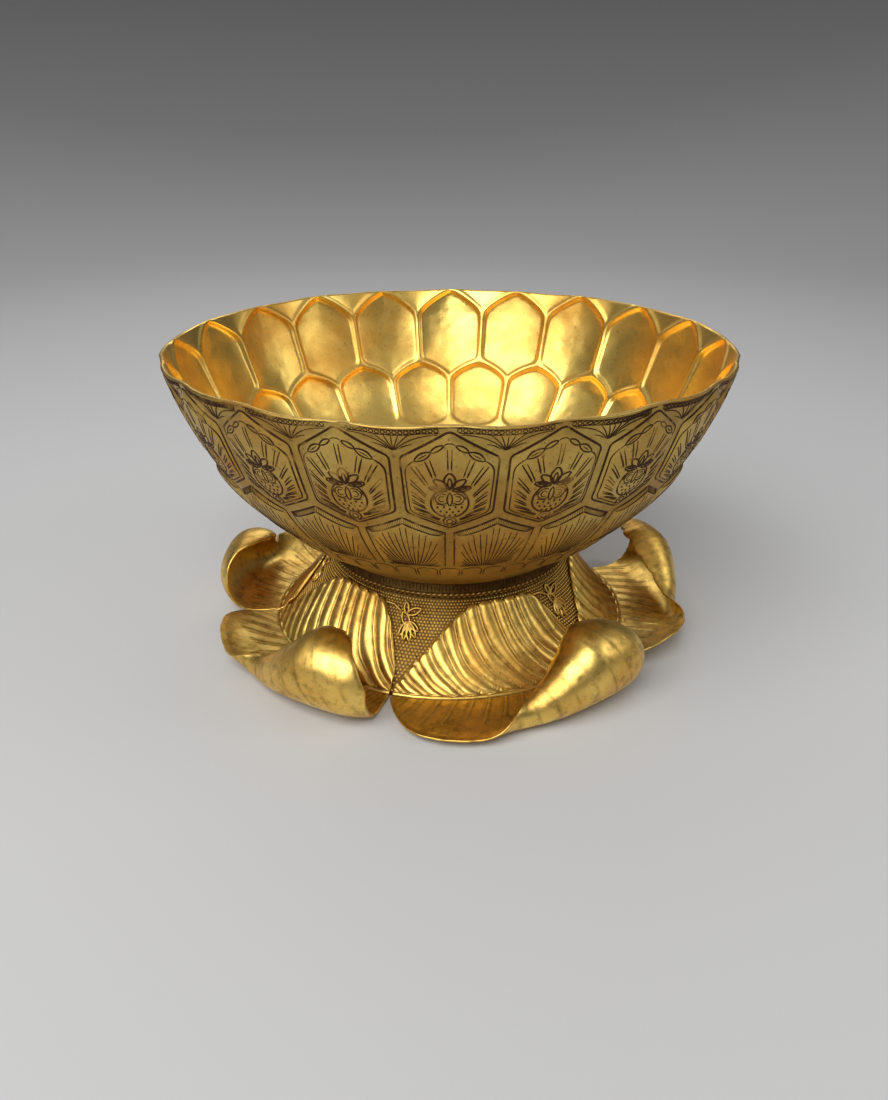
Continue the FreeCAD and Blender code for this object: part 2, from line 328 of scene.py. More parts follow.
def build_mottling(name):
    """Warm and bright patches of worn gilding, with brown blotches and small dark specks."""
    tree, given, made = new_group(
        name, "ShaderNodeTree",
        [
            ("Patch Size", "NodeSocketFloat", 0.02),
            ("Speck Size", "NodeSocketFloat", 0.001),
            ("Blotch Size", "NodeSocketFloat", 0.0034),
        ],
        [(label, "NodeSocketFloat") for label in ("Patches", "Specks", "Blotches")],
    )
    place = tree.nodes.new("ShaderNodeTexCoord")
    for size, output, detail, low, high in (
        ("Patch Size", "Patches", 6.0, 0.38, 0.66),
        ("Speck Size", "Specks", 2.0, 0.60, 0.74),
        ("Blotch Size", "Blotches", 8.0, 0.50, 0.70),
    ):
        noise = add_node(tree, "ShaderNodeTexNoise", in_3=detail, in_4=0.6)
        tree.links.new(place.outputs["Object"], noise.inputs["Vector"])
        tree.links.new(maths(tree, "DIVIDE", 1.0, given[size]), noise.inputs["Scale"])
        tree.links.new(ranged(tree, noise.outputs["Fac"], low, high), made[output])
    return tree


def build_hammering(name):
    """Shallow hammer marks with a fine burnished grain between them."""
    tree, given, made = new_group(
        name, "ShaderNodeTree",
        [
            ("Mark Size", "NodeSocketFloat", 0.004),
            ("Mark Depth", "NodeSocketFloat", 0.0001),
            ("Grain Depth", "NodeSocketFloat", 0.00002),
        ],
        [("Normal", "NodeSocketVector")],
    )
    link = tree.links.new
    place = tree.nodes.new("ShaderNodeTexCoord")
    scale = maths(tree, "DIVIDE", 1.0, given["Mark Size"])
    marks = add_node(tree, "ShaderNodeTexVoronoi", feature="SMOOTH_F1", in_3=0.9)
    link(place.outputs["Object"], marks.inputs["Vector"])
    link(scale, marks.inputs["Scale"])
    dents = add_node(tree, "ShaderNodeBump", in_0=1.0)
    link(marks.outputs["Distance"], dents.inputs["Height"])
    link(given["Mark Depth"], dents.inputs["Distance"])
    grain = add_node(tree, "ShaderNodeTexNoise", in_3=3.0)
    link(place.outputs["Object"], grain.inputs["Vector"])
    link(maths(tree, "MULTIPLY", scale, 9.0), grain.inputs["Scale"])
    ripple = add_node(tree, "ShaderNodeBump", in_0=1.0)
    link(grain.outputs["Fac"], ripple.inputs["Height"])
    link(given["Grain Depth"], ripple.inputs["Distance"])
    link(dents.outputs["Normal"], ripple.inputs["Normal"])
    link(ripple.outputs["Normal"], made["Normal"])
    return tree


def build_settled_patina(name):
    """Brown patina where a field on the mesh marks hollows, broken up by noise."""
    tree, given, made = new_group(
        name, "ShaderNodeTree",
        [("Hollow", "NodeSocketFloat", 0.0), ("Amount", "NodeSocketFloat", 1.0)],
        [("Mask", "NodeSocketFloat")],
    )
    place = tree.nodes.new("ShaderNodeTexCoord")
    noise = add_node(tree, "ShaderNodeTexNoise", in_2=420.0, in_3=4.0)
    tree.links.new(place.outputs["Object"], noise.inputs["Vector"])
    broken = ranged(tree, noise.outputs["Fac"], 0.3, 0.62, 0.35, 1.0)
    worn = maths(tree, "MULTIPLY", broken, given["Hollow"])
    tree.links.new(maths(tree, "MULTIPLY", worn, given["Amount"], clamp=True), made["Mask"])
    return tree


def place_group(tree, name, build, values):
    """The group of that name as a node in a material, with the material's own values."""
    node = add_node(tree, "ShaderNodeGroup", node_tree=group_once(name, build))
    for label, value in values.items():
        node.inputs[label].default_value = value
    return node


def new_material(name):
    """A material with its node tree and its shader."""
    material = bpy.data.materials.new(name)
    material.use_nodes = True
    return material, material.node_tree, material.node_tree.nodes["Principled BSDF"]


def gilding(name, finish, patch, mark, depth, rough, hollow_amount, darker=0.0, blotched=0.0):
    """Gilt metal: bright and aged gold in patches, patina in the hollows, hammer marks.

    Patch and mark are the sizes of the patches and of the hammer marks, and depth is how deep
    those marks are. Darker and blotched add brown all over and in blotches.
    """
    material, tree, shader = new_material(name)
    shader.inputs["Metallic"].default_value = 1.0
    link = tree.links.new
    mottling = place_group(tree, "Mottling", build_mottling, {"Patch Size": patch})
    patina = place_group(
        tree, "Settled Patina", build_settled_patina, {"Amount": hollow_amount}
    )
    hammering = place_group(
        tree, "Hammering", build_hammering, {"Mark Size": mark, "Mark Depth": depth}
    )
    field = add_node(tree, "ShaderNodeAttribute", attribute_name="hollow")
    link(field.outputs["Fac"], patina.inputs["Hollow"])
    # Darker adds one brown over a whole face; on the chased outer face that brown is painted shade.
    specks = maths(tree, "MULTIPLY_ADD", mottling.outputs["Specks"], 0.35, darker)
    brown = maths(
        tree, "MULTIPLY_ADD", mottling.outputs["Blotches"], blotched, specks, clamp=True
    )
    gold = mixed(tree, mottling.outputs["Patches"], finish.gold, finish.aged_gold)
    browned = mixed(tree, brown, gold, finish.patina)
    settled = mixed(tree, patina.outputs["Mask"], browned, finish.patina)
    link(settled, shader.inputs["Base Color"])
    matt = ranged(tree, mottling.outputs["Patches"], 0.0, 1.0, rough, rough + 0.16)
    dull = maths(tree, "MULTIPLY_ADD", patina.outputs["Mask"], 0.3, matt, clamp=True)
    link(dull, shader.inputs["Roughness"])
    link(hammering.outputs["Normal"], shader.inputs["Normal"])
    return material


def line_patina(name, finish):
    """Dark brown that fills a chased line, worn through to the gilding in places."""
    material, tree, shader = new_material(name)
    shader.inputs["Metallic"].default_value = 0.88
    shader.inputs["Roughness"].default_value = 0.60
    mottling = place_group(tree, "Mottling", build_mottling, {"Patch Size": 0.006})
    worn = ranged(tree, mottling.outputs["Patches"], 0.55, 1.0, 0.0, 0.45)
    shade = mixed(tree, worn, finish.patina, finish.aged_gold)
    tree.links.new(shade, shader.inputs["Base Color"])
    return material


# Bowl


def bowl_outline(sizes, slant):
    """Radius, height and outward normal of the bowl's outer face at distances down from the rim."""
    reach, rise = sizes.rim_radius - sizes.seat_radius, sizes.rim_height - sizes.seat_height
    radii = sizes.seat_radius + reach * np.array(BOWL_RADIUS_SHARES)
    heights = sizes.seat_height + rise * np.array(BOWL_HEIGHT_SHARES)
    run = np.concatenate(([0.0], np.cumsum(np.hypot(np.diff(radii), np.diff(heights)))))
    radius, height = smooth_track(slant, run, radii), smooth_track(slant, run, heights)
    small = 0.0002
    ahead = np.clip(slant + small, 0, run[-1])
    behind = np.clip(slant - small, 0, run[-1])
    d_radius = smooth_track(ahead, run, radii) - smooth_track(behind, run, radii)
    d_height = smooth_track(ahead, run, heights) - smooth_track(behind, run, heights)
    size = np.hypot(d_radius, d_height)
    return radius, height, -d_height / size, d_radius / size, run[-1]


def slant_at(sizes, height):
    """Distance down from the rim at which the outline has that height."""
    slant = np.linspace(0, 0.12, 1201)
    _, heights, _, _, end = bowl_outline(sizes, slant)
    return float(np.interp(-height, -heights[slant <= end], slant[slant <= end]))


def petal_marks(sizes):
    """Distances down from the rim to the shoulders, joints, tips and ends of the petals."""
    return [
        slant_at(sizes, height)
        for height in (
            sizes.shoulder_height, sizes.joint_height, sizes.tip_height, sizes.lower_end_height
        )
    ]


def petal_depths(sizes, angle, slant, radius, bow=0.0):
    """How deep points lie inside an upper petal, a lower petal and the corner between tips.

    Bow is how far the petals' upper edges swell out of straight lines.
    """
    pitch = 2 * math.pi / sizes.petals
    shift = np.abs((angle / pitch + 0.5) % 1.0 - 0.5)
    half, across = 0.5 * pitch * radius, shift * pitch * radius
    shoulder, joint, tip, end = petal_marks(sizes)

    def below(start, finish):
        """Distance below the line that joins the petal's middle to its side."""
        fall = finish - start
        return ((slant - start) * half - across * fall) / np.hypot(half, fall)

    def blunt_least(*depths):
        """The least of the depths, rounded where two of them meet."""
        rounding = 0.0008
        stack = np.clip(np.stack(np.broadcast_arrays(*depths)), -0.02, 0.03)
        return -rounding * np.log(np.sum(np.exp(-stack / rounding), axis=0))

    swell = bow * 4 * (across / half) * (1 - across / half)
    top, parting = below(0.0, shoulder) + swell, below(tip, joint) + swell
    hang = 0.0035
    lobe = end - hang * (1 - across / half) ** 2
    return (
        blunt_least(top, half - across, -parting),
        blunt_least(parting, across, lobe - slant),
        blunt_least(-top, slant + 0.004),
    )


def petal_relief(sizes, angle, slant, radius, crisp):
    """How far the petals swell at each point, and a field that is 1 in the ribs between them.

    A petal is deepest under its shoulders and runs out towards its foot. Crisp is 1 inside the
    bowl, where the edges are sharp, and less on the chased face.
    """
    shoulder, _, tip, end = petal_marks(sizes)
    bow = 0.0003 + 0.0005 * crisp
    upper, lower, spandrel = petal_depths(sizes, angle, slant, radius, bow)
    relief = np.zeros_like(upper)
    rib = np.ones_like(upper)
    upper_fade = 1 - 0.50 * np.clip((slant - shoulder) / (tip - shoulder), 0, 1)
    lower_fade = 1 - 0.70 * np.clip((slant - tip) / (end - tip), 0, 1)
    rib_half = sizes.rib_width * (1 - 0.75 * crisp)
    edge_width, crown_width = 0.0026 - 0.0014 * crisp, 0.0095
    for depth, height, fade in (
        (upper, sizes.upper_relief, upper_fade),
        (lower, sizes.lower_relief, lower_fade),
        (spandrel, sizes.spandrel_relief, 1.0),
    ):
        inside = depth - rib_half
        edge = np.clip(inside / edge_width, 0.0, 1.0)
        crown = np.clip(inside / crown_width, 0.0, 1.0)
        step = edge ** 2 * (3 - 2 * edge)
        relief += height * fade * (0.50 * step + 0.50 * (1 - (1 - crown) ** 2))
        rib *= 1 - np.clip(edge * 3, 0.0, 1.0)
    return relief, rib


def dip_rim(sizes, angle, height):
    """Heights kept under the rim, which dips a little between the tips as hammered sheet does."""
    scallop, sway, reach = 0.00018, 0.00028, 0.006
    height = np.minimum(height, sizes.rim_height - 0.00005)
    dip = scallop * (1 - np.cos(sizes.petals * angle)) + sway * (
        1 + np.sin(angle * 7 + 0.6) * np.sin(angle * 3)
    )
    return height - dip * np.clip(1 - (sizes.rim_height - height) / reach, 0, 1)


def bowl_surface(sizes, angle, slant, lift=0.0, crisp=CHASED_CRISP):
    """Points on the petalled outer face, or lifted off it, and the field of the ribs."""
    radius, height, normal_r, normal_z, _ = bowl_outline(sizes, slant)
    relief, rib = petal_relief(sizes, angle, slant, radius, crisp)
    out = relief + lift
    height = dip_rim(sizes, angle, height + normal_z * out)
    return around(radius + normal_r * out, angle, height), rib


def settle(piece, name):
    """The piece with its modifiers made into its mesh."""
    seen = piece.evaluated_get(bpy.context.evaluated_depsgraph_get())
    mesh = bpy.data.meshes.new_from_object(seen)
    mesh.name = name
    piece.modifiers.clear()
    piece.data = mesh
    return piece


def make_bowl(sizes, chased, burnished):
    """The hammered bowl as one closed sheet: petals outside, their hollows inside."""
    columns = PETAL_COLUMNS * sizes.petals
    end = bowl_outline(sizes, np.array([0.0]))[4]
    petals_end = slant_at(sizes, sizes.lower_end_height) + 0.004

    def slants(last):
        """Distances from the rim to the rings, close together on the petals."""
        under = np.linspace(petals_end, last, UNDER_RINGS + 1)[1:]
        return np.concatenate((np.linspace(0.0003, petals_end, PETAL_RINGS), under))

    outer_slants, inner_slants = slants(end), slants(end - 0.0006)
    angle = np.linspace(0, 2 * math.pi, columns, endpoint=False)
    rings, hollow = [], []
    for slant in outer_slants[::-1]:
        points, rib = bowl_surface(sizes, angle, np.full(columns, slant))
        rings.append(points)
        hollow.append(0.2 * rib)
    relief = petal_relief(sizes, angle, np.zeros(columns), sizes.rim_radius, CHASED_CRISP)[0]
    lip_radius = sizes.rim_radius - sizes.wall / 2 + relief
    rings.append(around(lip_radius, angle, dip_rim(sizes, angle, sizes.rim_height)))
    hollow.append(np.zeros(columns))
    for slant in inner_slants:
        slant = np.full(columns, slant)
        rings.append(bowl_surface(sizes, angle, slant, -sizes.wall, BURNISHED_CRISP)[0])
        hollow.append(np.zeros(columns))
    floor_height = float(rings[-1][:, 2].mean())
    faces = ring_faces(len(rings), columns)
    under = len(rings) * columns
    vertices = np.concatenate((
        *rings, [[0, 0, sizes.seat_height]], [[0, 0, floor_height]],
    ))
    last = (len(rings) - 1) * columns
    lip = len(outer_slants) * columns
    shown_inside = [int(face[0] >= lip) for face in faces]
    for column in range(columns):
        after = (column + 1) % columns
        faces.append((under, after, column))
        faces.append((under + 1, last + column, last + after))
        shown_inside += [0, 1]
    hollow = np.concatenate((np.concatenate(hollow), [0.0, 0.0]))
    piece = new_piece("hammered_bowl", vertices, faces, chased, {"hollow": hollow})
    piece.data.materials.append(burnished)
    piece.data.polygons.foreach_set("material_index", shown_inside)
    thinner = piece.modifiers.new("Thinner", "DECIMATE")
    thinner.ratio = BOWL_TRIANGLES / (2 * len(faces))
    settle(piece, "hammered_bowl")
    return ride_root(piece, "gilt_bowl", "bowl")


# Chasing on the bowl. Each line is drawn flat and has a width. Its points give the distance
# across from the middle of the petal, and down from the rim.


def rounded(corners, radii):
    """A closed line through the corners, each rounded by its radius."""
    corners = np.asarray(corners, float)
    line = []
    for index, (corner, radius) in enumerate(zip(corners, radii)):
        start, finish = (
            corner + (other - corner) / np.hypot(*(other - corner)) * radius
            for other in (corners[index - 1], corners[(index + 1) % len(corners)])
        )
        for part in np.linspace(0, 1, CORNER_POINTS):
            rest = 1 - part
            line.append(start * rest ** 2 + 2 * corner * part * rest + finish * part ** 2)
    return np.array(line + line[:1])


def even(line, step, fewest=2):
    """The same line with points about one step apart, and no fewer than asked for."""
    line = np.asarray(line, float)
    run = np.concatenate(([0], np.cumsum(np.hypot(*np.diff(line, axis=0).T))))
    count = max(fewest, int(round(run[-1] / step)) + 1)
    at = np.linspace(0, run[-1], count)
    return np.stack([np.interp(at, run, line[:, axis]) for axis in range(2)], axis=1)


def loop(centre, radius_x, radius_y, points, start=0.0, sweep=2 * math.pi):
    """An oval, or the part of it that a sweep covers."""
    at = start + np.linspace(0, sweep, points)
    return np.stack((centre[0] + radius_x * np.sin(at), centre[1] - radius_y * np.cos(at)), axis=1)


def leaflet(foot, tip, width, points=8):
    """A pointed oval between two points."""
    foot, tip = np.array(foot), np.array(tip)
    way = tip - foot
    aside = np.array([-way[1], way[0]]) / np.hypot(*way)
    at = np.linspace(0, 1, points)[:, None]
    middle, swell = foot + way * at, aside * width / 2 * np.sin(at * math.pi) ** 0.8
    return np.concatenate((middle + swell, (middle - swell)[::-1]))


def mirrored(lines):
    """The lines and their mirror images about the middle of the petal."""
    return lines + [(line * (-1, 1), width) for line, width in lines]


def petal_frame(sizes, top, side, bottom, radii):
    """An upper petal's outline, drawn in by a distance from its top, side and bottom edges."""
    shoulder, joint, tip, _ = petal_marks(sizes)
    pitch = 2 * math.pi / sizes.petals
    half_shoulder, half_joint = (
        0.5 * pitch * float(bowl_outline(sizes, np.array([slant]))[0][0])
        for slant in (shoulder, joint)
    )
    apex = top * math.hypot(half_shoulder, shoulder) / half_shoulder
    keel = tip - bottom * math.hypot(half_joint, tip - joint) / half_joint
    right_top = (half_shoulder - side, apex + shoulder * (half_shoulder - side) / half_shoulder)
    right_low = (half_joint - side, keel - (tip - joint) * (half_joint - side) / half_joint)
    corners = [
        (0, apex), right_top, right_low, (0, keel),
        (-right_low[0], right_low[1]), (-right_top[0], right_top[1]),
    ]
    return rounded(corners, radii)


def rays(focus, angles, inner, fits, bend=0.0, reach=0.04):
    """Lines that spread from a focus, start past inner(angle) and go on while fits(x, y) holds."""
    lines = []
    for angle in angles:
        run = np.arange(inner(angle), reach, 0.0003)
        turned_by = angle + bend * angle * (run / reach)
        x, y = focus[0] + run * np.sin(turned_by), focus[1] - run * np.cos(turned_by)
        good = fits(x, y)
        if not good.any():
            continue
        first = int(np.argmax(good))
        rest = good[first:]
        last = first + (len(rest) if rest.all() else int(np.argmin(rest)))
        if last - first > 4:
            lines.append(np.stack((x, y), axis=1)[first:last])
    return lines


def inside_petal(sizes, row, margin, centre_share=0.0):
    """A test of whether points lie deeper than the margin in an upper (0) or lower (1) petal."""
    pitch = 2 * math.pi / sizes.petals

    def fits(x, y):
        radius = bowl_outline(sizes, y)[0]
        depths = petal_depths(sizes, x / radius + centre_share * pitch, y, radius)
        return depths[row] > margin
    return fits


def draw_fruit(centre, size):
    """Chased lines of a pomegranate with its crown of leaves and the knob that it grows from."""
    thin, bold = 0.00043, 0.00058
    middle, (wide, tall) = centre[1], size
    crown, knob = middle - tall, (0.0, middle + tall + 0.0015)
    lines = [
        (loop(centre, wide, tall, 26), bold),
        (loop(knob, 0.00145, 0.0017, 14), bold),
        (loop(knob, 0.0007, 0.0009, 9), thin),
        (leaflet((0.0, crown + 0.0006), (0.0, crown - 0.0046), 0.0026), bold),
        (leaflet((0.0, crown + 0.0002), (0.0, crown - 0.0030), 0.0009), thin),
        (leaflet((0.0, crown + 0.0014), (0.0, middle + 0.0010), 0.0012), thin),
    ]
    lines += mirrored([
        (leaflet((0.0003, crown + 0.0002), (0.0036, crown - 0.0026), 0.0018), bold),
        (leaflet((0.0006, crown + 0.0008), (0.0048, crown - 0.0002), 0.0016), bold),
        (leaflet((0.0014, crown + 0.0003), (0.0040, crown), 0.0005), thin),
        (loop((0.0017, middle - 0.0014), 0.0015, 0.0017, 12, -0.6, 4.9), thin),
        (loop((0.0017, middle - 0.0014), 0.0008, 0.0010, 9, -0.6, 4.4), thin),
        (np.array([(0.0033, middle - 0.0026), (0.0036, middle - 0.0010)]), thin),
        (np.array([(0.0008, middle + 0.0006), (0.0030, middle + 0.0002)]), thin),
    ])
    for x, y in (
        (0.0, 0.0018), (0.0013, 0.0012), (0.0027, 0.0013), (0.0007, 0.0029), (0.0020, 0.0026),
        (0.0012, 0.0039), (0.0, 0.0040),
    ):
        spot = [(np.array([(x, middle + y - 0.0003), (x, middle + y + 0.0003)]), 0.0014)]
        lines += mirrored(spot) if x else spot
    return lines


def draw_upper_petal(sizes):
    """Chased lines of one upper petal: frame, leafy links, veins and a pomegranate."""
    shoulder = petal_marks(sizes)[0]
    thin, bold = 0.00046, 0.00062
    lines = [(petal_frame(sizes, 0.0012, 0.0012, 0.0012, (0.001,) * 6), bold)]
    inner = petal_frame(
        sizes, 0.0031, 0.0022, 0.0021, (0.0008, 0.0028, 0.0016, 0.0014, 0.0016, 0.0028)
    )
    # The apex's points come first, then the right shoulder's.
    corner, way = inner[CORNER_POINTS], inner[CORNER_POINTS - 1] - inner[CORNER_POINTS]
    peak = corner + way * 0.92
    lines.append((inner[CORNER_POINTS:-1], thin))
    lines.append((np.concatenate(([peak * (-1, 1)], inner[:CORNER_POINTS], [peak])), thin))
    lines += mirrored([
        (leaflet(corner, corner + way * 0.53, 0.0016, 12), thin),
        (leaflet(corner + way * 0.50, peak, 0.0011, 12), thin),
        (np.array([corner + way * 0.13, corner + way * 0.38]), thin),
    ])

    body, (wide, tall) = (0.0, 0.0214), (0.0042, 0.0048)
    focus = (0.0, body[1] + tall + 0.0018)
    crown = focus[1] - (body[1] - tall - 0.0052)
    deep_enough = inside_petal(sizes, 0, 0.0030)
    well_inside = inside_petal(sizes, 0, 0.0042)

    def clear_of_frame(x, y):
        """Whether points are inside the frame, and above the shoulders clear of its links."""
        return deep_enough(x, y) & (well_inside(x, y) | (y > shoulder + 0.002))

    def outside_fruit(angle):
        """Where a vein leaves the fruit, its crown's leaves and its knob behind."""
        lean, rise = math.cos(angle), focus[1] - body[1]
        reach_x, reach_y = (wide + 0.0006) ** 2, (tall + 0.0006) ** 2
        square = math.sin(angle) ** 2 / reach_x + lean ** 2 / reach_y
        slope = -2 * rise * lean / reach_y
        within = slope ** 2 - 4 * square * (rise ** 2 / reach_y - 1)
        start = (-slope + math.sqrt(within)) / (2 * square) if within > 0 else 0.0024
        leaves_end = crown - 0.0018 if angle < 0.22 else crown - 0.0036
        return max(start, leaves_end if angle < 0.36 else 0.0024)

    lines += [
        (line, thin) for line in rays(focus, (-0.022, 0.022), lambda angle: crown, clear_of_frame)
    ]
    spread = (
        0.15, 0.19, 0.28, 0.32, 0.42, 0.46, 0.55, 0.60,
        0.69, 0.74, 0.84, 0.89, 0.99, 1.04, 1.14, 1.19, 1.30,
    )
    lines += mirrored([
        (line, bold if number % 2 else thin)
        for number, line in enumerate(rays(focus, spread, outside_fruit, clear_of_frame, bend=0.9))
    ])
    return lines + draw_fruit(body, (wide, tall))


def draw_spandrel(sizes):
    """Chased fan between two petal tips, under a row of beads at the rim."""
    shoulder = petal_marks(sizes)[0]
    thin = 0.00042
    half = math.pi / sizes.petals * sizes.rim_radius

    def fits(x, y):
        """Whether points lie in the corner between two tips, under the beads."""
        return (np.abs(x) / (half - 0.0016) + (y - 0.0022) / (shoulder - 0.0032) < 1) & (y > 0.0024)

    lines = [
        (line, thin) for line in rays(
            (0.0, shoulder - 0.0004), np.linspace(-1.15, 1.15, 15), lambda angle: 0.0009, fits,
            bend=1.2, reach=0.012,
        )
    ]
    lines.append((np.array([(-half + 0.0022, 0.0022), (half - 0.0022, 0.0022)]), thin))
    lines.append((np.array([(-half + 0.0008, 0.0006), (half - 0.0008, 0.0006)]), thin))
    for x in np.arange(-half + 0.0022, half - 0.0021, 0.00125):
        lines.append((loop((x, 0.0014), 0.00050, 0.00058, 8), 0.00028))
    return lines


def draw_lower_petal(sizes):
    """Chased lines of one lower petal: frame, ticked band and a fan of veins."""
    _, joint, tip, end = petal_marks(sizes)
    thin, bold = 0.00044, 0.00060
    pitch = 2 * math.pi / sizes.petals

    def half(slant):
        """Half a petal's width at a distance down from the rim."""
        return 0.5 * pitch * float(bowl_outline(sizes, np.array([slant]))[0][0])

    def outline(inset, side):
        """The right half of the petal's outline, drawn in from its upper edge and its side."""
        rise = inset * math.hypot(half(tip), tip - joint) / half(tip)
        corner = half(tip) - side
        slants = np.linspace(tip + rise, end - 0.001, 7)
        flank = [(half(slant) - side, slant) for slant in slants]
        return np.array([(0, joint + rise)] + [
            (corner, joint + rise + (tip - joint) * corner / half(tip))
        ] + flank[1:])

    outer, inner = outline(0.0011, 0.0011), outline(0.0023, 0.0022)
    lines = [(outer, bold), (inner[:2], thin)]
    for at in np.linspace(0.03, 0.99, 22):
        lines.append((
            np.stack((
                inner[0] + (inner[1] - inner[0]) * at,
                outer[0] + (outer[1] - outer[0]) * at,
            )), 0.00024,
        ))
    inside = inside_petal(sizes, 1, 0.0027, 0.5)

    def fits(x, y):
        """Whether points are inside the ticked band and above the petal's foot."""
        return inside(x, np.minimum(y, end - 0.0062)) & (y < end - 0.0006)

    spread = np.concatenate(([0.035], np.linspace(0.11, 1.02, 12)))
    fan = rays((0.0, end + 0.0030), spread, lambda angle: 0.0030, fits, bend=-0.30)
    for number, line in enumerate(fan):
        short = (0, 5, 2)[number % 3]
        lines.append((line[:len(line) - short], thin))
    return mirrored(lines)


def draw_lappet(sizes, count):
    """One small rounded lappet of the row under the lower petals, with a double divider."""
    end = petal_marks(sizes)[3] + 0.0004
    half = math.pi / count * float(bowl_outline(sizes, np.array([end + 0.002]))[0][0])
    thin, foot = 0.00052, end + 0.0054
    arch = loop((0.0, end + 0.0014), half * 0.90, 0.0014, 9, -math.pi / 2, math.pi)
    return mirrored([
        (np.array([(half * 0.90, end + 0.0014), (half * 0.82, foot)]), thin),
    ]) + [(arch, thin)]


def on_bowl(sizes, centre_share=0.0):
    """Places points, across and down from the rim, on the bowl's outer face at a lift."""
    pitch = 2 * math.pi / sizes.petals

    def place(across, slant, lift):
        angle = across / bowl_outline(sizes, slant)[0] + centre_share * pitch
        return bowl_surface(sizes, angle, slant, lift)[0]
    return place


def ribbons(place, lines, step=0.0009, rise=0.00006, sink=0.00009):
    """Narrow ribbons that lie along lines on a face, tapering at open ends.

    Rise and sink are how far a ribbon stands out of the face and how deep its edges lie in it.
    """
    vertices, faces = [], []
    for line, width in lines:
        closed = np.hypot(*(line[0] - line[-1])) < 1e-6
        path = even(line, step, 14 if closed else 2)
        ahead = np.gradient(path, axis=0)
        if closed:
            ahead[0] = ahead[-1] = path[1] - path[-2]
        aside = np.stack((-ahead[:, 1], ahead[:, 0]), axis=1)
        aside /= np.maximum(np.hypot(*aside.T), 1e-9)[:, None]
        taper = np.ones(len(path))
        if not closed:
            taper = np.linspace(1.0, 0.6, len(path))
            taper[0] = taper[-1] = 0.4
        rows = []
        for offset, lift in ((0.5, -sink), (0.38, rise), (-0.38, rise), (-0.5, -sink)):
            spot = path + aside * (offset * width * taper)[:, None]
            rows.append(place(spot[:, 0], spot[:, 1], lift))
        first = len(vertices)
        vertices.extend(np.stack(rows, axis=1).reshape(-1, 3))
        count = len(path)
        for index in range(count - 1):
            for corner in range(4):
                low, high = first + 4 * index, first + 4 * (index + 1)
                after = (corner + 1) % 4
                faces.append((low + corner, low + after, high + after, high + corner))
        if not closed:
            faces.append((first, first + 3, first + 2, first + 1))
            last = first + 4 * (count - 1)
            faces.append((last, last + 1, last + 2, last + 3))
    return vertices, faces


# Pieces that geometry nodes repeat


def end_repeat(tree, given, made, points, rotation, scale=None):
    """Puts the piece on the points as real geometry, and gives it its material."""
    link = tree.links.new
    place = tree.nodes.new("GeometryNodeInstanceOnPoints")
    link(points, place.inputs["Points"])
    link(given["Geometry"], place.inputs["Instance"])
    link(rotation, place.inputs["Rotation"])
    if scale:
        link(scale, place.inputs["Scale"])
    real = tree.nodes.new("GeometryNodeRealizeInstances")
    link(place.outputs[0], real.inputs[0])
    painted = tree.nodes.new("GeometryNodeSetMaterial")
    link(real.outputs[0], painted.inputs["Geometry"])
    link(given["Material"], painted.inputs["Material"])
    link(painted.outputs[0], made["Geometry"])


def build_round_repeat(name):
    """Repeats a piece round the bowl's axis."""
    tree, given, made = new_group(
        name, "GeometryNodeTree",
        [
            ("Geometry", "NodeSocketGeometry", None),
            ("Count", "NodeSocketInt", 20),
            ("Start", "NodeSocketFloat", 0.0),
            ("Material", "NodeSocketMaterial", None),
        ],
        [("Geometry", "NodeSocketGeometry")],
    )
    spots = tree.nodes.new("GeometryNodePoints")
    tree.links.new(given["Count"], spots.inputs["Count"])
    index = tree.nodes.new("GeometryNodeInputIndex").outputs[0]
    step = maths(tree, "DIVIDE", 2 * math.pi, given["Count"])
    spin = tree.nodes.new("ShaderNodeCombineXYZ")
    tree.links.new(maths(tree, "MULTIPLY_ADD", index, step, given["Start"]), spin.inputs["Z"])
    rotation = tree.nodes.new("FunctionNodeEulerToRotation")
    tree.links.new(spin.outputs[0], rotation.inputs[0])
    end_repeat(tree, given, made, spots.outputs[0], rotation.outputs[0])
    return tree


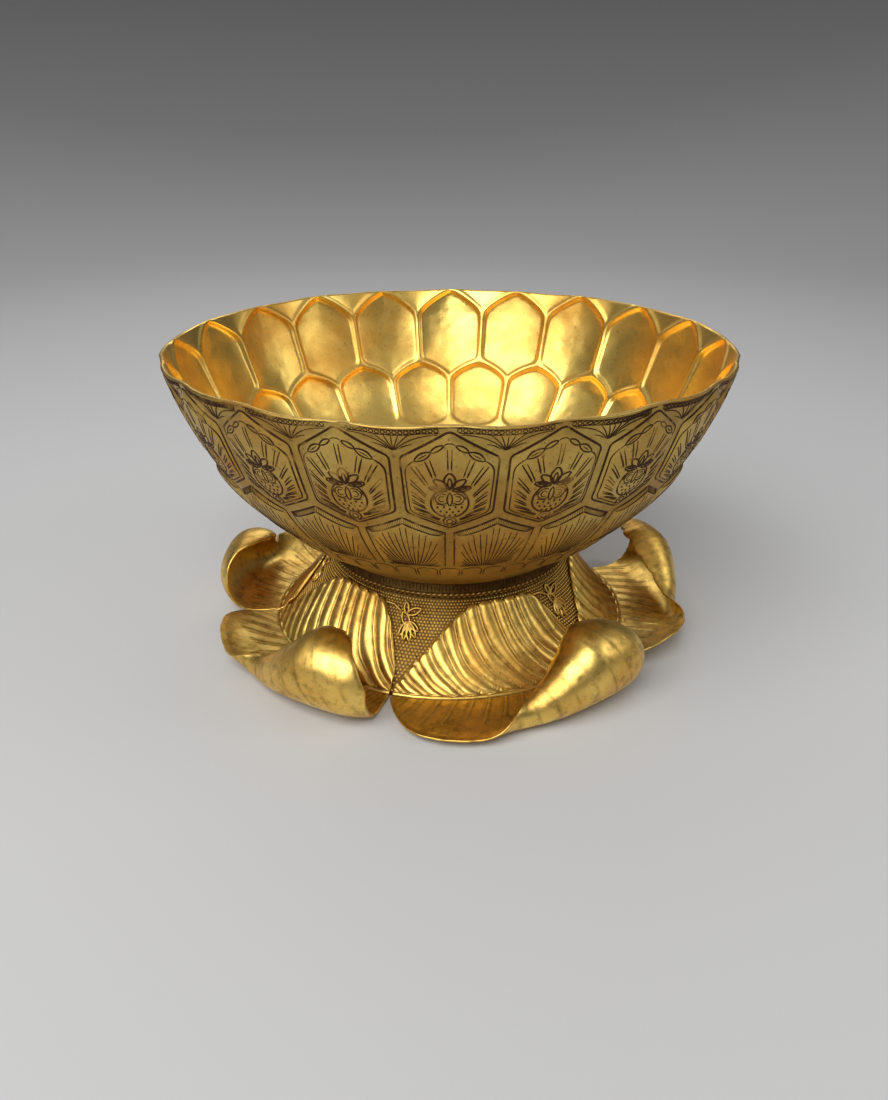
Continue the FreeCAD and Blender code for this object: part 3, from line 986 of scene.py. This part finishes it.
def build_punched_rows(name):
    """Staggered rows of small domes on the foot's flare, each square to the face.

    The flare's radius at a height is Base Radius + Slope * height + Hollow * height squared.
    """
    tree, given, made = new_group(
        name, "GeometryNodeTree",
        [
            ("Geometry", "NodeSocketGeometry", None),
            ("Rows", "NodeSocketInt", 28),
            ("Dots In A Row", "NodeSocketInt", 260),
            ("Dot Size", "NodeSocketFloat", 0.008),
            ("Lowest", "NodeSocketFloat", 0.0),
            ("Row Rise", "NodeSocketFloat", 0.0008),
            ("Base Radius", "NodeSocketFloat", 0.054),
            ("Slope", "NodeSocketFloat", -1.0),
            ("Hollow", "NodeSocketFloat", 9.0),
            ("Material", "NodeSocketMaterial", None),
        ],
        [("Geometry", "NodeSocketGeometry")],
    )
    link = tree.links.new

    def calc(operation, *values):
        return maths(tree, operation, *values)

    in_a_row = given["Dots In A Row"]
    spots = tree.nodes.new("GeometryNodePoints")
    link(calc("MULTIPLY", given["Rows"], in_a_row), spots.inputs["Count"])
    index = tree.nodes.new("GeometryNodeInputIndex").outputs[0]
    row = calc("FLOOR", calc("DIVIDE", calc("ADD", index, 0.5), in_a_row))
    column = calc("SUBTRACT", index, calc("MULTIPLY", row, in_a_row))
    stagger = calc("MULTIPLY", calc("MODULO", row, 2.0), 0.5)
    turns = calc("MULTIPLY", calc("ADD", column, stagger), 2 * math.pi)
    angle = calc("DIVIDE", turns, in_a_row)
    sine, cosine = calc("SINE", angle), calc("COSINE", angle)
    height = calc("MULTIPLY_ADD", row, given["Row Rise"], given["Lowest"])
    lean = calc("MULTIPLY_ADD", height, given["Hollow"], given["Slope"])
    radius = calc("MULTIPLY_ADD", height, lean, given["Base Radius"])
    spot = tree.nodes.new("ShaderNodeCombineXYZ")
    link(calc("MULTIPLY", radius, sine), spot.inputs["X"])
    link(calc("MULTIPLY", calc("MULTIPLY", radius, cosine), -1.0), spot.inputs["Y"])
    link(height, spot.inputs["Z"])
    placed = tree.nodes.new("GeometryNodeSetPosition")
    link(spots.outputs[0], placed.inputs["Geometry"])
    link(spot.outputs[0], placed.inputs["Position"])

    rate = calc("MULTIPLY_ADD", calc("MULTIPLY", height, 2.0), given["Hollow"], given["Slope"])
    facing = tree.nodes.new("ShaderNodeCombineXYZ")
    link(sine, facing.inputs["X"])
    link(calc("MULTIPLY", cosine, -1.0), facing.inputs["Y"])
    link(calc("MULTIPLY", rate, -1.0), facing.inputs["Z"])
    align = add_node(tree, "FunctionNodeAlignRotationToVector", axis="Z")
    link(facing.outputs[0], align.inputs["Vector"])
    size = calc("MULTIPLY", radius, given["Dot Size"])
    end_repeat(tree, given, made, placed.outputs[0], align.outputs[0], size)
    return tree


def repeated(name, vertices, faces, tree, inputs):
    """A piece that a geometry node tree makes from one mesh, as a plain mesh."""
    material = inputs["Material"]
    piece = new_piece(name, vertices, faces, material)
    modifier = piece.modifiers.new("Repeat", "NODES")
    modifier.node_group = tree
    sockets = {item.name: item.identifier for item in tree.interface.items_tree
               if item.in_out == "INPUT"}
    for label, value in inputs.items():
        modifier[sockets[label]] = value
    return settle(piece, name)


def dome(height, sides, sink):
    """A low dome of radius 1 with its foot sunk, as vertices and faces."""
    vertices, faces = [], []
    for level, (reach, rise) in enumerate(((1.0, -sink), (0.80, 0.55 * height))):
        for side in range(sides):
            angle = 2 * math.pi * (side + 0.5 * level) / sides
            vertices.append((reach * math.cos(angle), reach * math.sin(angle), rise))
    vertices.append((0, 0, height))
    for side in range(sides):
        after = (side + 1) % sides
        faces.append((side, after, sides + side))
        faces.append((after, sides + after, sides + side))
        faces.append((sides + side, sides + after, 2 * sides))
    faces.append(tuple(range(sides))[::-1])
    return vertices, faces


def make_chasing(sizes, material):
    """All chased lines on the bowl's outer face."""
    tree = group_once("Round Repeat", build_round_repeat)
    lappets = 60
    for name, centre_share, lines, step, count in (
        ("chased_upper_petals", 0.0, draw_upper_petal(sizes), 0.0009, sizes.petals),
        ("chased_lower_petals", 0.5, draw_lower_petal(sizes), 0.0009, sizes.petals),
        ("chased_spandrels", 0.5, draw_spandrel(sizes), 0.0009, sizes.petals),
        ("chased_lappets", 0.0, draw_lappet(sizes, lappets), 0.0012, lappets),
    ):
        vertices, faces = ribbons(on_bowl(sizes, centre_share), lines, step)
        inputs = {"Count": count, "Start": 0.0, "Material": material}
        ride_root(repeated(name, vertices, faces, tree, inputs), "gilt_bowl")


# Foot and collar


def flare_rates(sizes):
    """Slope and hollow of the foot's flare, as rates of its radius with height."""
    neck = FOOT_HIGH.z
    return [float(rate) for rate in np.linalg.solve(
        np.array([[sizes.waist_height, sizes.waist_height ** 2], [neck, neck ** 2]]),
        np.array([sizes.waist_radius - sizes.base_radius, sizes.neck_radius - sizes.base_radius]),
    )]


def flare_radius(sizes, height):
    """Radius of the foot's hollow flare at a height, and the angle at which its face looks up."""
    slope, hollow = flare_rates(sizes)
    radius = sizes.base_radius + slope * height + hollow * height ** 2
    return radius, np.arctan2(-(slope + 2 * hollow * height), 1.0)


def turned(name, outline, material, slot, node):
    """A closed ring turned from an outline of radii and heights."""
    columns = 256
    angle = np.linspace(0, 2 * math.pi, columns, endpoint=False)
    rings = [around(radius, angle, height) for radius, height in outline]
    rings.append(rings[0])
    faces = ring_faces(len(outline), columns)
    last = (len(outline) - 1) * columns
    for column in range(columns):
        after = (column + 1) % columns
        faces.append((last + column, last + after, after, column))
    piece = new_piece(name, np.concatenate(rings[:-1]), faces, material)
    return ride_root(piece, slot, node)


def make_foot(sizes, material):
    """The hollow flared foot that the leaves wrap."""
    chamfer = 0.0004
    heights = np.linspace(chamfer, FOOT_HIGH.z, 28)
    outside = [(flare_radius(sizes, height)[0], height) for height in heights]
    outside.insert(0, (sizes.base_radius - chamfer, 0.0))
    inner_base = sizes.base_radius - sizes.rest_width
    inner_neck = sizes.neck_radius - sizes.neck_wall
    inside = [
        (inner_neck + (inner_base - inner_neck) * step, FOOT_HIGH.z * (1 - step))
        for step in np.linspace(0, 1, 9)
    ]
    return turned("flared_foot", outside + inside, material, "gilt_foot", "foot_ring")


def make_collar(sizes, material):
    """The collar between bowl and foot, with a rounded cord at its lower edge."""
    outer, inner = sizes.neck_radius + COLLAR_PROUD, sizes.neck_radius - 0.0014
    low, high = COLLAR_LOW.z, COLLAR_HIGH.z
    bead = 0.0008
    outline = [(inner, low), (outer, low)]
    for step in np.linspace(-0.5, 0.5, 9)[1:-1]:
        outline.append((
            outer + bead * math.cos(step * math.pi), low + bead + bead * math.sin(step * math.pi)
        ))
    outline += [(outer, low + 2 * bead), (outer, high), (inner, high)]
    return turned("neck_band", outline, material, "gilt_foot", "neck_collar")


def on_foot(sizes):
    """Places points, across and up from the surface, on the foot's flare at a lift."""

    def place(across, height, lift):
        radius, outward = flare_radius(sizes, height)
        return around(
            radius + lift * np.cos(outward), across / radius, height + lift * np.sin(outward)
        )
    return place


def on_collar(sizes):
    """Places points, across and up from the surface, on the collar's band at a lift."""

    def place(across, height, lift):
        radius = sizes.neck_radius + COLLAR_PROUD
        return around(radius + lift, across / radius, np.asarray(height, float))
    return place


def draw_sprig():
    """A bud on a curved stem that hangs in the panel between two leaves."""
    thin, bold, tilt = 0.00050, 0.00075, 0.15
    top = FOOT_HIGH.z
    stem = np.array([
        (-0.0125, top - 0.0062), (-0.0105, top - 0.0040), (-0.0075, top - 0.0030),
        (-0.0040, top - 0.0032), (-0.0015, top - 0.0046),
    ])
    bud = np.array([0.0, top - 0.0050])
    cup = leaflet(bud + (-0.0012, 0.0004), bud + (0.0012, -0.0028), 0.0020)
    lines = [(stem, bold), (cup, thin)]
    start = bud + (0.0006, -0.0016)
    for lean, size in (
        (-0.55, 0.0048), (-0.2, 0.0056), (0.15, 0.0058), (0.5, 0.0054), (0.85, 0.0044)
    ):
        end = start + (size * math.sin(lean + tilt), -size * math.cos(lean + tilt) * 0.85)
        lines.append((leaflet(start, end, 0.0013), thin))
    lines.append((leaflet(bud, bud + (0.0040, 0.0016), 0.0016), thin))
    lines.append((leaflet(bud, bud + (-0.0006, 0.0030), 0.0014), thin))
    return lines


def make_sprigs(sizes, dark, bright):
    """A raised sprig, outlined in brown, in each panel of the foot that the leaves leave open."""
    place = on_foot(sizes)
    for name, material, wider, rise in (
        ("foot_sprig_outlines", dark, 0.00045, 0.00034), ("foot_sprigs", bright, 0.0, 0.00062),
    ):
        vertices, faces = [], []
        for _, roll, _ in LEAVES:
            turned_by = math.radians(roll + 15.0)

            def turned_place(across, height, lift):
                radius = flare_radius(sizes, height)[0]
                return place(across + turned_by * radius, height, lift)
            lines = [(line, width + wider) for line, width in draw_sprig()]
            more, more_faces = ribbons(turned_place, lines, 0.0006, rise, 0.0002)
            faces += [tuple(corner + len(vertices) for corner in face) for face in more_faces]
            vertices += more
        ride_root(new_piece(name, vertices, faces, material), "gilt_foot")


def make_collar_trim(sizes, dark, bright):
    """Upright hatching on the collar, and the twisted cord round its foot."""
    tree = group_once("Round Repeat", build_round_repeat)
    low, high = COLLAR_LOW.z + 0.0019, COLLAR_HIGH.z - 0.0004
    hatch = [(np.array([(0.0, low), (0.0, high)]), 0.00042)]
    vertices, faces = ribbons(on_collar(sizes), hatch, 0.0012, 0.00010, 0.00008)
    piece = repeated(
        "collar_hatching", vertices, faces, tree, {"Count": 220, "Start": 0.0, "Material": dark}
    )
    ride_root(piece, "gilt_foot")
    foot = COLLAR_LOW.z
    strand = [(np.array([(-0.0008, foot + 0.0003), (0.0008, foot + 0.0014)]), 0.0008)]
    place = on_collar(sizes)
    vertices, faces = ribbons(
        lambda across, height, lift: place(across, height, lift + 0.00045), strand, 0.0004,
        0.00030, 0.0006,
    )
    piece = repeated(
        "collar_cord", vertices, faces, tree, {"Count": 150, "Start": 0.0, "Material": bright}
    )
    ride_root(piece, "gilt_foot")


def make_punched_ground(sizes, material):
    """Fish-roe ground of small punched rings on the foot's flare."""
    rows, in_a_row = 29, 264
    vertices, faces = dome(height=0.55, sides=6, sink=0.3)
    neck = FOOT_HIGH.z
    low = 0.0012
    slope, hollow = flare_rates(sizes)
    piece = repeated(
        "punched_ground", vertices, faces, group_once("Punched Rows", build_punched_rows),
        {
            "Rows": rows, "Dots In A Row": in_a_row, "Dot Size": 0.0096,
            "Lowest": low, "Row Rise": (neck - low - 0.0004) / rows,
            "Base Radius": sizes.base_radius, "Slope": slope, "Hollow": hollow,
            "Material": material,
        },
    )
    ride_root(piece, "gilt_foot")


# Leaves


def rib_sweep(reach):
    """How far a leaf's rib has moved towards the tip at a distance up from the midrib."""
    return 0.0165 * (1 - np.exp(-reach / 0.010))


def leaf_sheet(along, x, rise, sizes, foot):
    """Radius, height and heading of the middle of a leaf's sheet, without its relief.

    Along and x run from the tip to the stalk end, as a share and as a distance. The points of a
    row run from the scalloped edge on the foot over the fold and the flange to the rolled edge.
    """
    table = np.array(LEAF_SECTION_SHARES)
    far, soft = 18, 8.0
    blur = np.exp(-((np.arange(-far, far + 1) / soft) ** 2))
    blur /= blur.sum()

    def eased(track):
        """The track with its bends softened, and its ends kept."""
        before = 2 * track[0] - track[far:0:-1]
        after = 2 * track[-1] - track[-2:-2 - far:-1]
        padded = np.concatenate((before, track, after))
        return np.clip(np.convolve(padded, blur, mode="valid"), 0, 1)

    up, flange, curl, bend, edge = (
        eased(smooth_track(along, table[:, 0], table[:, column])) for column in range(1, 6)
    )
    on_foot_rows, fold_rows, flange_rows, curl_rows = LEAF_ROWS
    gap, low = sizes.seat + sizes.sheet / 2, sizes.lift + sizes.sheet / 2
    steepest = flare_radius(foot, low)[1] - math.pi / 2
    fold_low = low + sizes.fold_radius * (1 - math.cos(steepest)) - gap * math.cos(steepest)
    fold_high = fold_low + up * (sizes.top_height - fold_low)
    lean, scallop = math.radians(48), 0.0011
    reach_top = (fold_high - fold_low) / math.sin(lean)
    beat = ((x + rib_sweep(reach_top)) / RIB_PITCH) % 1.0
    fold_high = fold_high - scallop * (1 - np.sin(math.pi * beat) ** 0.7) * np.clip(up * 2, 0, 1)

    part = np.linspace(0, 1, on_foot_rows)[None, :]
    height = fold_high[:, None] + (fold_low - fold_high[:, None]) * part
    radius, outward = flare_radius(foot, height)
    heading = outward - math.pi / 2
    radius = radius + gap * np.cos(outward)
    height = height + gap * np.sin(outward)
    path = [(radius[:, i], height[:, i], heading[:, i]) for i in range(on_foot_rows)]

    r, h, head = path[-1]
    spread = (sizes.edge_rise * edge * rise - head) / fold_rows
    for _ in range(fold_rows):
        head = head + spread / 2
        r = r + sizes.fold_radius * spread * np.cos(head)
        h = h + sizes.fold_radius * spread * np.sin(head)
        head = head + spread / 2
        path.append((r, h, head))
    step = flange * sizes.flange / flange_rows
    for _ in range(flange_rows):
        r, h = r + step * np.cos(head), h + step * np.sin(head)
        path.append((r, h, head))
    step = curl * sizes.curl_length / curl_rows
    crimp_depth, crimp_pitch = 0.50, 0.0040
    notch = 1 - crimp_depth * (1 - np.abs(np.sin(math.pi * x / crimp_pitch)) ** 0.6)
    spread = sizes.curl_angle * bend / curl_rows
    for row in range(curl_rows):
        if row == curl_rows - 3:
            step = step * notch
        head = head + spread / 2
        r, h = r + step * np.cos(head), h + step * np.sin(head)
        head = head + spread / 2
        path.append((r, h, head))
    return [np.stack([point[i] for point in path], axis=1) for i in range(3)]


def leaf_relief(x, reach, phase, flange):
    """Relief of a leaf, and fields for the patina on its face and on the back of its roll.

    Reach is how far points lie outside the midrib, and is negative on the foot.
    """
    inside = np.clip(-reach / 0.0012, 0, 1)
    outside = np.clip((reach - 0.0006) / 0.0010, 0, 1)

    def ridge(distance, middle, width):
        """1 where the distance is at the middle, falling to 0 on both sides."""
        return np.exp(-(((distance - middle) / width) ** 2))

    def off_line(beat, pitch):
        """How far points are from the nearest of the lines at a pitch."""
        return np.minimum(beat, 1 - beat) * pitch

    # Inside the midrib, broad panels parted by a raised cord with a groove on each side
    uneven = 0.08 * np.sin(x * 310 + 0.7) + 0.04 * np.sin(x * 730 + phase)
    off = off_line(((x + rib_sweep(np.maximum(-reach, 0))) / RIB_PITCH + uneven) % 1.0, RIB_PITCH)
    grooves = ridge(off, 0.00048, 0.00021)
    panel = 1 - (1 - np.clip((off - 0.0006) / (RIB_PITCH / 2 - 0.0006), 0, 1)) ** 2
    relief = inside * (0.00048 * panel + 0.00022 * ridge(off, 0, 0.00026) - 0.00016 * grooves)
    hollow = inside * grooves

    # Outside it, pairs of fine embossed veins that lean towards the tip and fade on the roll
    off = off_line(((x + 0.32 * np.maximum(reach, 0)) / VEIN_PITCH) % 1.0, VEIN_PITCH)
    number = np.floor((x + 0.3 * reach) / VEIN_PITCH)
    vein_end = flange * (0.92 + 0.12 * np.sin(number * 2.4))
    fading = outside * np.clip((vein_end - reach) / 0.0012, 0, 1) * np.clip(x / 0.004, 0, 1)
    relief += fading * (
        0.00026 * ridge(off, 0.00042, 0.00016) - 0.00010 * ridge(off, 0, 0.00022)
    )
    hollow += fading * ridge(off, 0.00085, 0.00020) * 0.9

    # From behind they show on the roll as faint broken lines
    behind = np.clip((reach - 0.009) / 0.004, 0, 1) * ridge(off, 0, 0.00034)
    behind *= 0.55 + 0.45 * np.sin(x * 1900) * np.sin(reach * 520)
    relief -= 0.00005 * behind

    # The midrib, with brown settled on both sides
    relief += 0.00034 * ridge(reach, 0, 0.00045)
    hollow += 0.75 * ridge(np.abs(reach), 0.0009, 0.0003)
    return relief, hollow, behind


def make_leaf(node, roll, rise, sizes, foot, material):
    """One curled lotus leaf: ribbed and scalloped on the foot, folded at its midrib and rolled."""
    along = np.linspace(0, 1, LEAF_COLUMNS)
    angle = math.radians(roll) + (along - ROLL_SPAN_SHARE) * sizes.span
    x = along * sizes.span * MIDRIB_RADIUS
    radius, height, heading = leaf_sheet(along, x, rise, sizes, foot)
    run = np.concatenate((
        np.zeros((LEAF_COLUMNS, 1)),
        np.cumsum(np.hypot(np.diff(radius, axis=1), np.diff(height, axis=1)), axis=1),
    ), axis=1)
    reach = run - run[:, LEAF_ROWS[0] + LEAF_ROWS[1] // 2][:, None]
    relief, hollow, behind = leaf_relief(x[:, None], reach, angle[0], sizes.flange)
    to_edge = np.minimum(run, run[:, -1:] - run)
    relief *= np.clip(to_edge / 0.0012, 0, 1)
    radius = radius - relief * np.sin(heading)
    height = height + relief * np.cos(heading)

    half = sizes.sheet / 2 * (0.55 + 0.45 * np.clip(to_edge / 0.0015, 0, 1))
    top, under = (
        around(
            radius - side * half * np.sin(heading), angle[:, None],
            height + side * half * np.cos(heading),
        ) for side in (1, -1)
    )
    vertices = np.concatenate((top, under[:, ::-1]), axis=1).reshape(-1, 3)
    count = radius.shape[1]
    faces = ring_faces(LEAF_COLUMNS, 2 * count)
    for first, turned_over in ((0, True), ((LEAF_COLUMNS - 1) * 2 * count, False)):
        for i in range(count - 1):
            face = (first + i, first + i + 1, first + 2 * count - 2 - i, first + 2 * count - 1 - i)
            faces.append(face[::-1] if turned_over else face)
    fields = {"hollow": np.concatenate((hollow, (0.3 * hollow + 0.7 * behind)[:, ::-1]), axis=1)}
    piece = new_piece(node.replace("leaf", "curled_leaf"), vertices, faces, material, fields)
    return ride_root(piece, "gilt_leaf", node)


# Stage


def area_light(name, place, aim, size, watts):
    """A rectangular lamp that looks at a point."""
    data = bpy.data.lights.new(name, "AREA")
    data.shape = "RECTANGLE"
    data.size, data.size_y = size
    data.energy = watts
    lamp = bpy.data.objects.new(name, data)
    lamp.location = place
    bpy.context.scene.collection.objects.link(lamp)
    way = Vector(aim) - Vector(place)
    lamp.rotation_euler = way.to_track_quat("-Z", "Y").to_euler()


def make_backdrop(finish):
    """A round floor that curves up into a wall on all sides, pale below and grey above, with
    painted shade that dims it outward from the bowl.
    """
    material, tree, shader = new_material("studio_backdrop")
    shader.inputs["Roughness"].default_value = 0.7
    place = tree.nodes.new("ShaderNodeTexCoord")
    reach = add_node(tree, "ShaderNodeVectorMath", operation="LENGTH")
    split = tree.nodes.new("ShaderNodeSeparateXYZ")
    tree.links.new(place.outputs["Object"], reach.inputs[0])
    tree.links.new(place.outputs["Object"], split.inputs[0])
    # Painted shade: the floor and the wall dim with distance from the bowl, as if the lamps' light
    # fell off.
    far = ranged(tree, reach.outputs["Value"], 0.15, 1.45, last=0.62)
    high = ranged(tree, split.outputs["Z"], 0.0, 0.32, last=0.38)
    shade = mixed(tree, maths(tree, "ADD", far, high, clamp=True), finish.floor, finish.backdrop)
    tree.links.new(shade, shader.inputs["Base Color"])
    flat, bend, top, columns = 0.75, 0.60, 0.9, 96
    outline = [(radius, 0.0) for radius in (0.2, 0.6, flat)]
    outline += [
        (flat + bend * math.sin(turned_by), bend * (1 - math.cos(turned_by)))
        for turned_by in np.linspace(0, math.pi / 2, 13)[1:]
    ]
    outline.append((flat + bend, top))
    angle = np.linspace(0, 2 * math.pi, columns, endpoint=False)
    rings = [around(radius, angle, height) for radius, height in outline]
    vertices = np.concatenate(rings + [np.array([[0.0, 0.0, 0.0]])])
    faces = [face[::-1] for face in ring_faces(len(outline), columns)]
    for column in range(columns):
        faces.append((len(vertices) - 1, column, (column + 1) % columns))
    backdrop = new_piece("studio_backdrop", vertices, faces, material)


def make_stage(finish):
    """Backdrop, soft lamps, world and the camera of the photograph."""
    scene = bpy.context.scene
    scene.view_settings.view_transform = "Standard"
    make_backdrop(finish)
    world = bpy.data.worlds.new("studio")
    world.use_nodes = True
    background = world.node_tree.nodes["Background"]
    background.inputs["Color"].default_value = (0.50, 0.50, 0.50, 1.0)
    background.inputs["Strength"].default_value = 0.55
    scene.world = world
    area_light("key_front", (-0.36, -0.62, 0.80), (0, 0, 0.05), (1.0, 0.8), 10.4)
    area_light("side_right", (0.75, -0.10, 0.55), (0, 0, 0.05), (0.4, 0.5), 1.2)
    area_light("back_rim", (-0.10, 0.75, 0.60), (0, 0, 0.06), (0.9, 0.3), 1.6)

    data = bpy.data.cameras.new("camera")
    data.sensor_width = 36.0
    data.lens = data.sensor_width * PHOTO_FOCAL / PHOTO_HEIGHT
    data.shift_x = PHOTO_SHIFT / PHOTO_HEIGHT
    camera = bpy.data.objects.new("camera", data)
    camera.location = CAMERA_PLACE
    camera.rotation_euler = (math.radians(CAMERA_TILT), 0.0, 0.0)
    scene.collection.objects.link(camera)
    scene.camera = camera


# Operators, panel and registration


class LOTUS_OT_bowl(bpy.types.Operator):
    """Make the hammered bowl with its two rows of petals"""

    bl_idname = "lotus.bowl"
    bl_label = "Hammered Bowl"

    def execute(self, context):
        scene = context.scene
        # The brown that darker adds all over the chased outer face is painted shade, for the dark
        # surroundings that the outside reflects.
        chased = gilding(
            "chased_gilding", scene.lotus_finish, patch=0.020, mark=0.0035, depth=0.00010,
            rough=0.40, hollow_amount=0.8, darker=0.40, blotched=0.10,
        )
        burnished = gilding(
            "burnished_gilding", scene.lotus_finish, patch=0.030, mark=0.0075, depth=0.00022,
            rough=0.29, hollow_amount=0.5, blotched=0.05,
        )
        make_bowl(scene.lotus_bowl, chased, burnished)
        return {"FINISHED"}


class LOTUS_OT_chasing(bpy.types.Operator):
    """Make the chased lines on the outside of the bowl"""

    bl_idname = "lotus.chasing"
    bl_label = "Chased Lines"

    def execute(self, context):
        scene = context.scene
        make_chasing(scene.lotus_bowl, line_patina("chased_line_patina", scene.lotus_finish))
        return {"FINISHED"}


class LOTUS_OT_foot(bpy.types.Operator):
    """Make the flared foot and the collar above it"""

    bl_idname = "lotus.foot"
    bl_label = "Foot and Collar"

    def execute(self, context):
        scene = context.scene
        material = gilding(
            "foot_gilding", scene.lotus_finish, patch=0.015, mark=0.003, depth=0.0001,
            rough=0.50, hollow_amount=0.9, darker=0.88,
        )
        make_foot(scene.lotus_foot, material)
        make_collar(scene.lotus_foot, material)
        make_collar_trim(
            scene.lotus_foot, line_patina("hatching_patina", scene.lotus_finish),
            gilding(
                "cord_gilding", scene.lotus_finish, patch=0.015, mark=0.003, depth=0.00005,
                rough=0.36, hollow_amount=0.9, darker=0.25,
            ),
        )
        return {"FINISHED"}


class LOTUS_OT_ground(bpy.types.Operator):
    """Make the punched ground of the foot"""

    bl_idname = "lotus.ground"
    bl_label = "Punched Ground"

    def execute(self, context):
        scene = context.scene
        material = gilding(
            "punched_gilding", scene.lotus_finish, patch=0.015, mark=0.003, depth=0.0001,
            rough=0.30, hollow_amount=0.9,
        )
        make_punched_ground(scene.lotus_foot, material)
        make_sprigs(
            scene.lotus_foot, line_patina("sprig_patina", scene.lotus_finish), material
        )
        return {"FINISHED"}


class LOTUS_OT_leaves(bpy.types.Operator):
    """Make the curled leaves round the foot"""

    bl_idname = "lotus.leaves"
    bl_label = "Curled Leaves"

    def execute(self, context):
        scene = context.scene
        material = gilding(
            "leaf_gilding", scene.lotus_finish, patch=0.018, mark=0.005, depth=0.00018,
            rough=0.31, hollow_amount=0.85, blotched=0.52,
        )
        for node, roll, rise in LEAVES:
            make_leaf(node, roll, rise, scene.lotus_leaf, scene.lotus_foot, material)
        return {"FINISHED"}


class LOTUS_OT_stage(bpy.types.Operator):
    """Make the floor, the lamps, the world and the camera"""

    bl_idname = "lotus.stage"
    bl_label = "Studio"

    def execute(self, context):
        make_stage(context.scene.lotus_finish)
        return {"FINISHED"}


OPERATORS = (
    LOTUS_OT_bowl, LOTUS_OT_chasing, LOTUS_OT_foot, LOTUS_OT_ground, LOTUS_OT_leaves,
    LOTUS_OT_stage,
)
GROUPS = {
    "lotus_bowl": BowlSizes,
    "lotus_foot": FootSizes,
    "lotus_leaf": LeafSizes,
    "lotus_finish": Finish,
}


class LOTUS_PT_panel(bpy.types.Panel):
    """Lists the pieces of the bowl and their sizes"""

    bl_idname = "LOTUS_PT_panel"
    bl_label = "Gilt Lotus Bowl"
    bl_space_type = "VIEW_3D"
    bl_region_type = "UI"
    bl_category = "Lotus Bowl"

    def draw(self, context):
        for operator in OPERATORS:
            self.layout.operator(operator.bl_idname)
        for group in GROUPS:
            sizes = getattr(context.scene, group)
            for name in sizes.__annotations__:
                self.layout.prop(sizes, name)


def register():
    for item in (*GROUPS.values(), *OPERATORS, LOTUS_PT_panel):
        bpy.utils.register_class(item)
    for name, group in GROUPS.items():
        setattr(bpy.types.Scene, name, bpy.props.PointerProperty(type=group))


def unregister():
    for name in GROUPS:
        delattr(bpy.types.Scene, name)
    for item in (LOTUS_PT_panel, *OPERATORS[::-1], *GROUPS.values()):
        bpy.utils.unregister_class(item)


def main():
    register()
    bpy.ops.lotus.stage()
    bpy.ops.lotus.bowl()
    bpy.ops.lotus.chasing()
    bpy.ops.lotus.foot()
    bpy.ops.lotus.ground()
    bpy.ops.lotus.leaves()


if __name__ == "__main__":
    main()
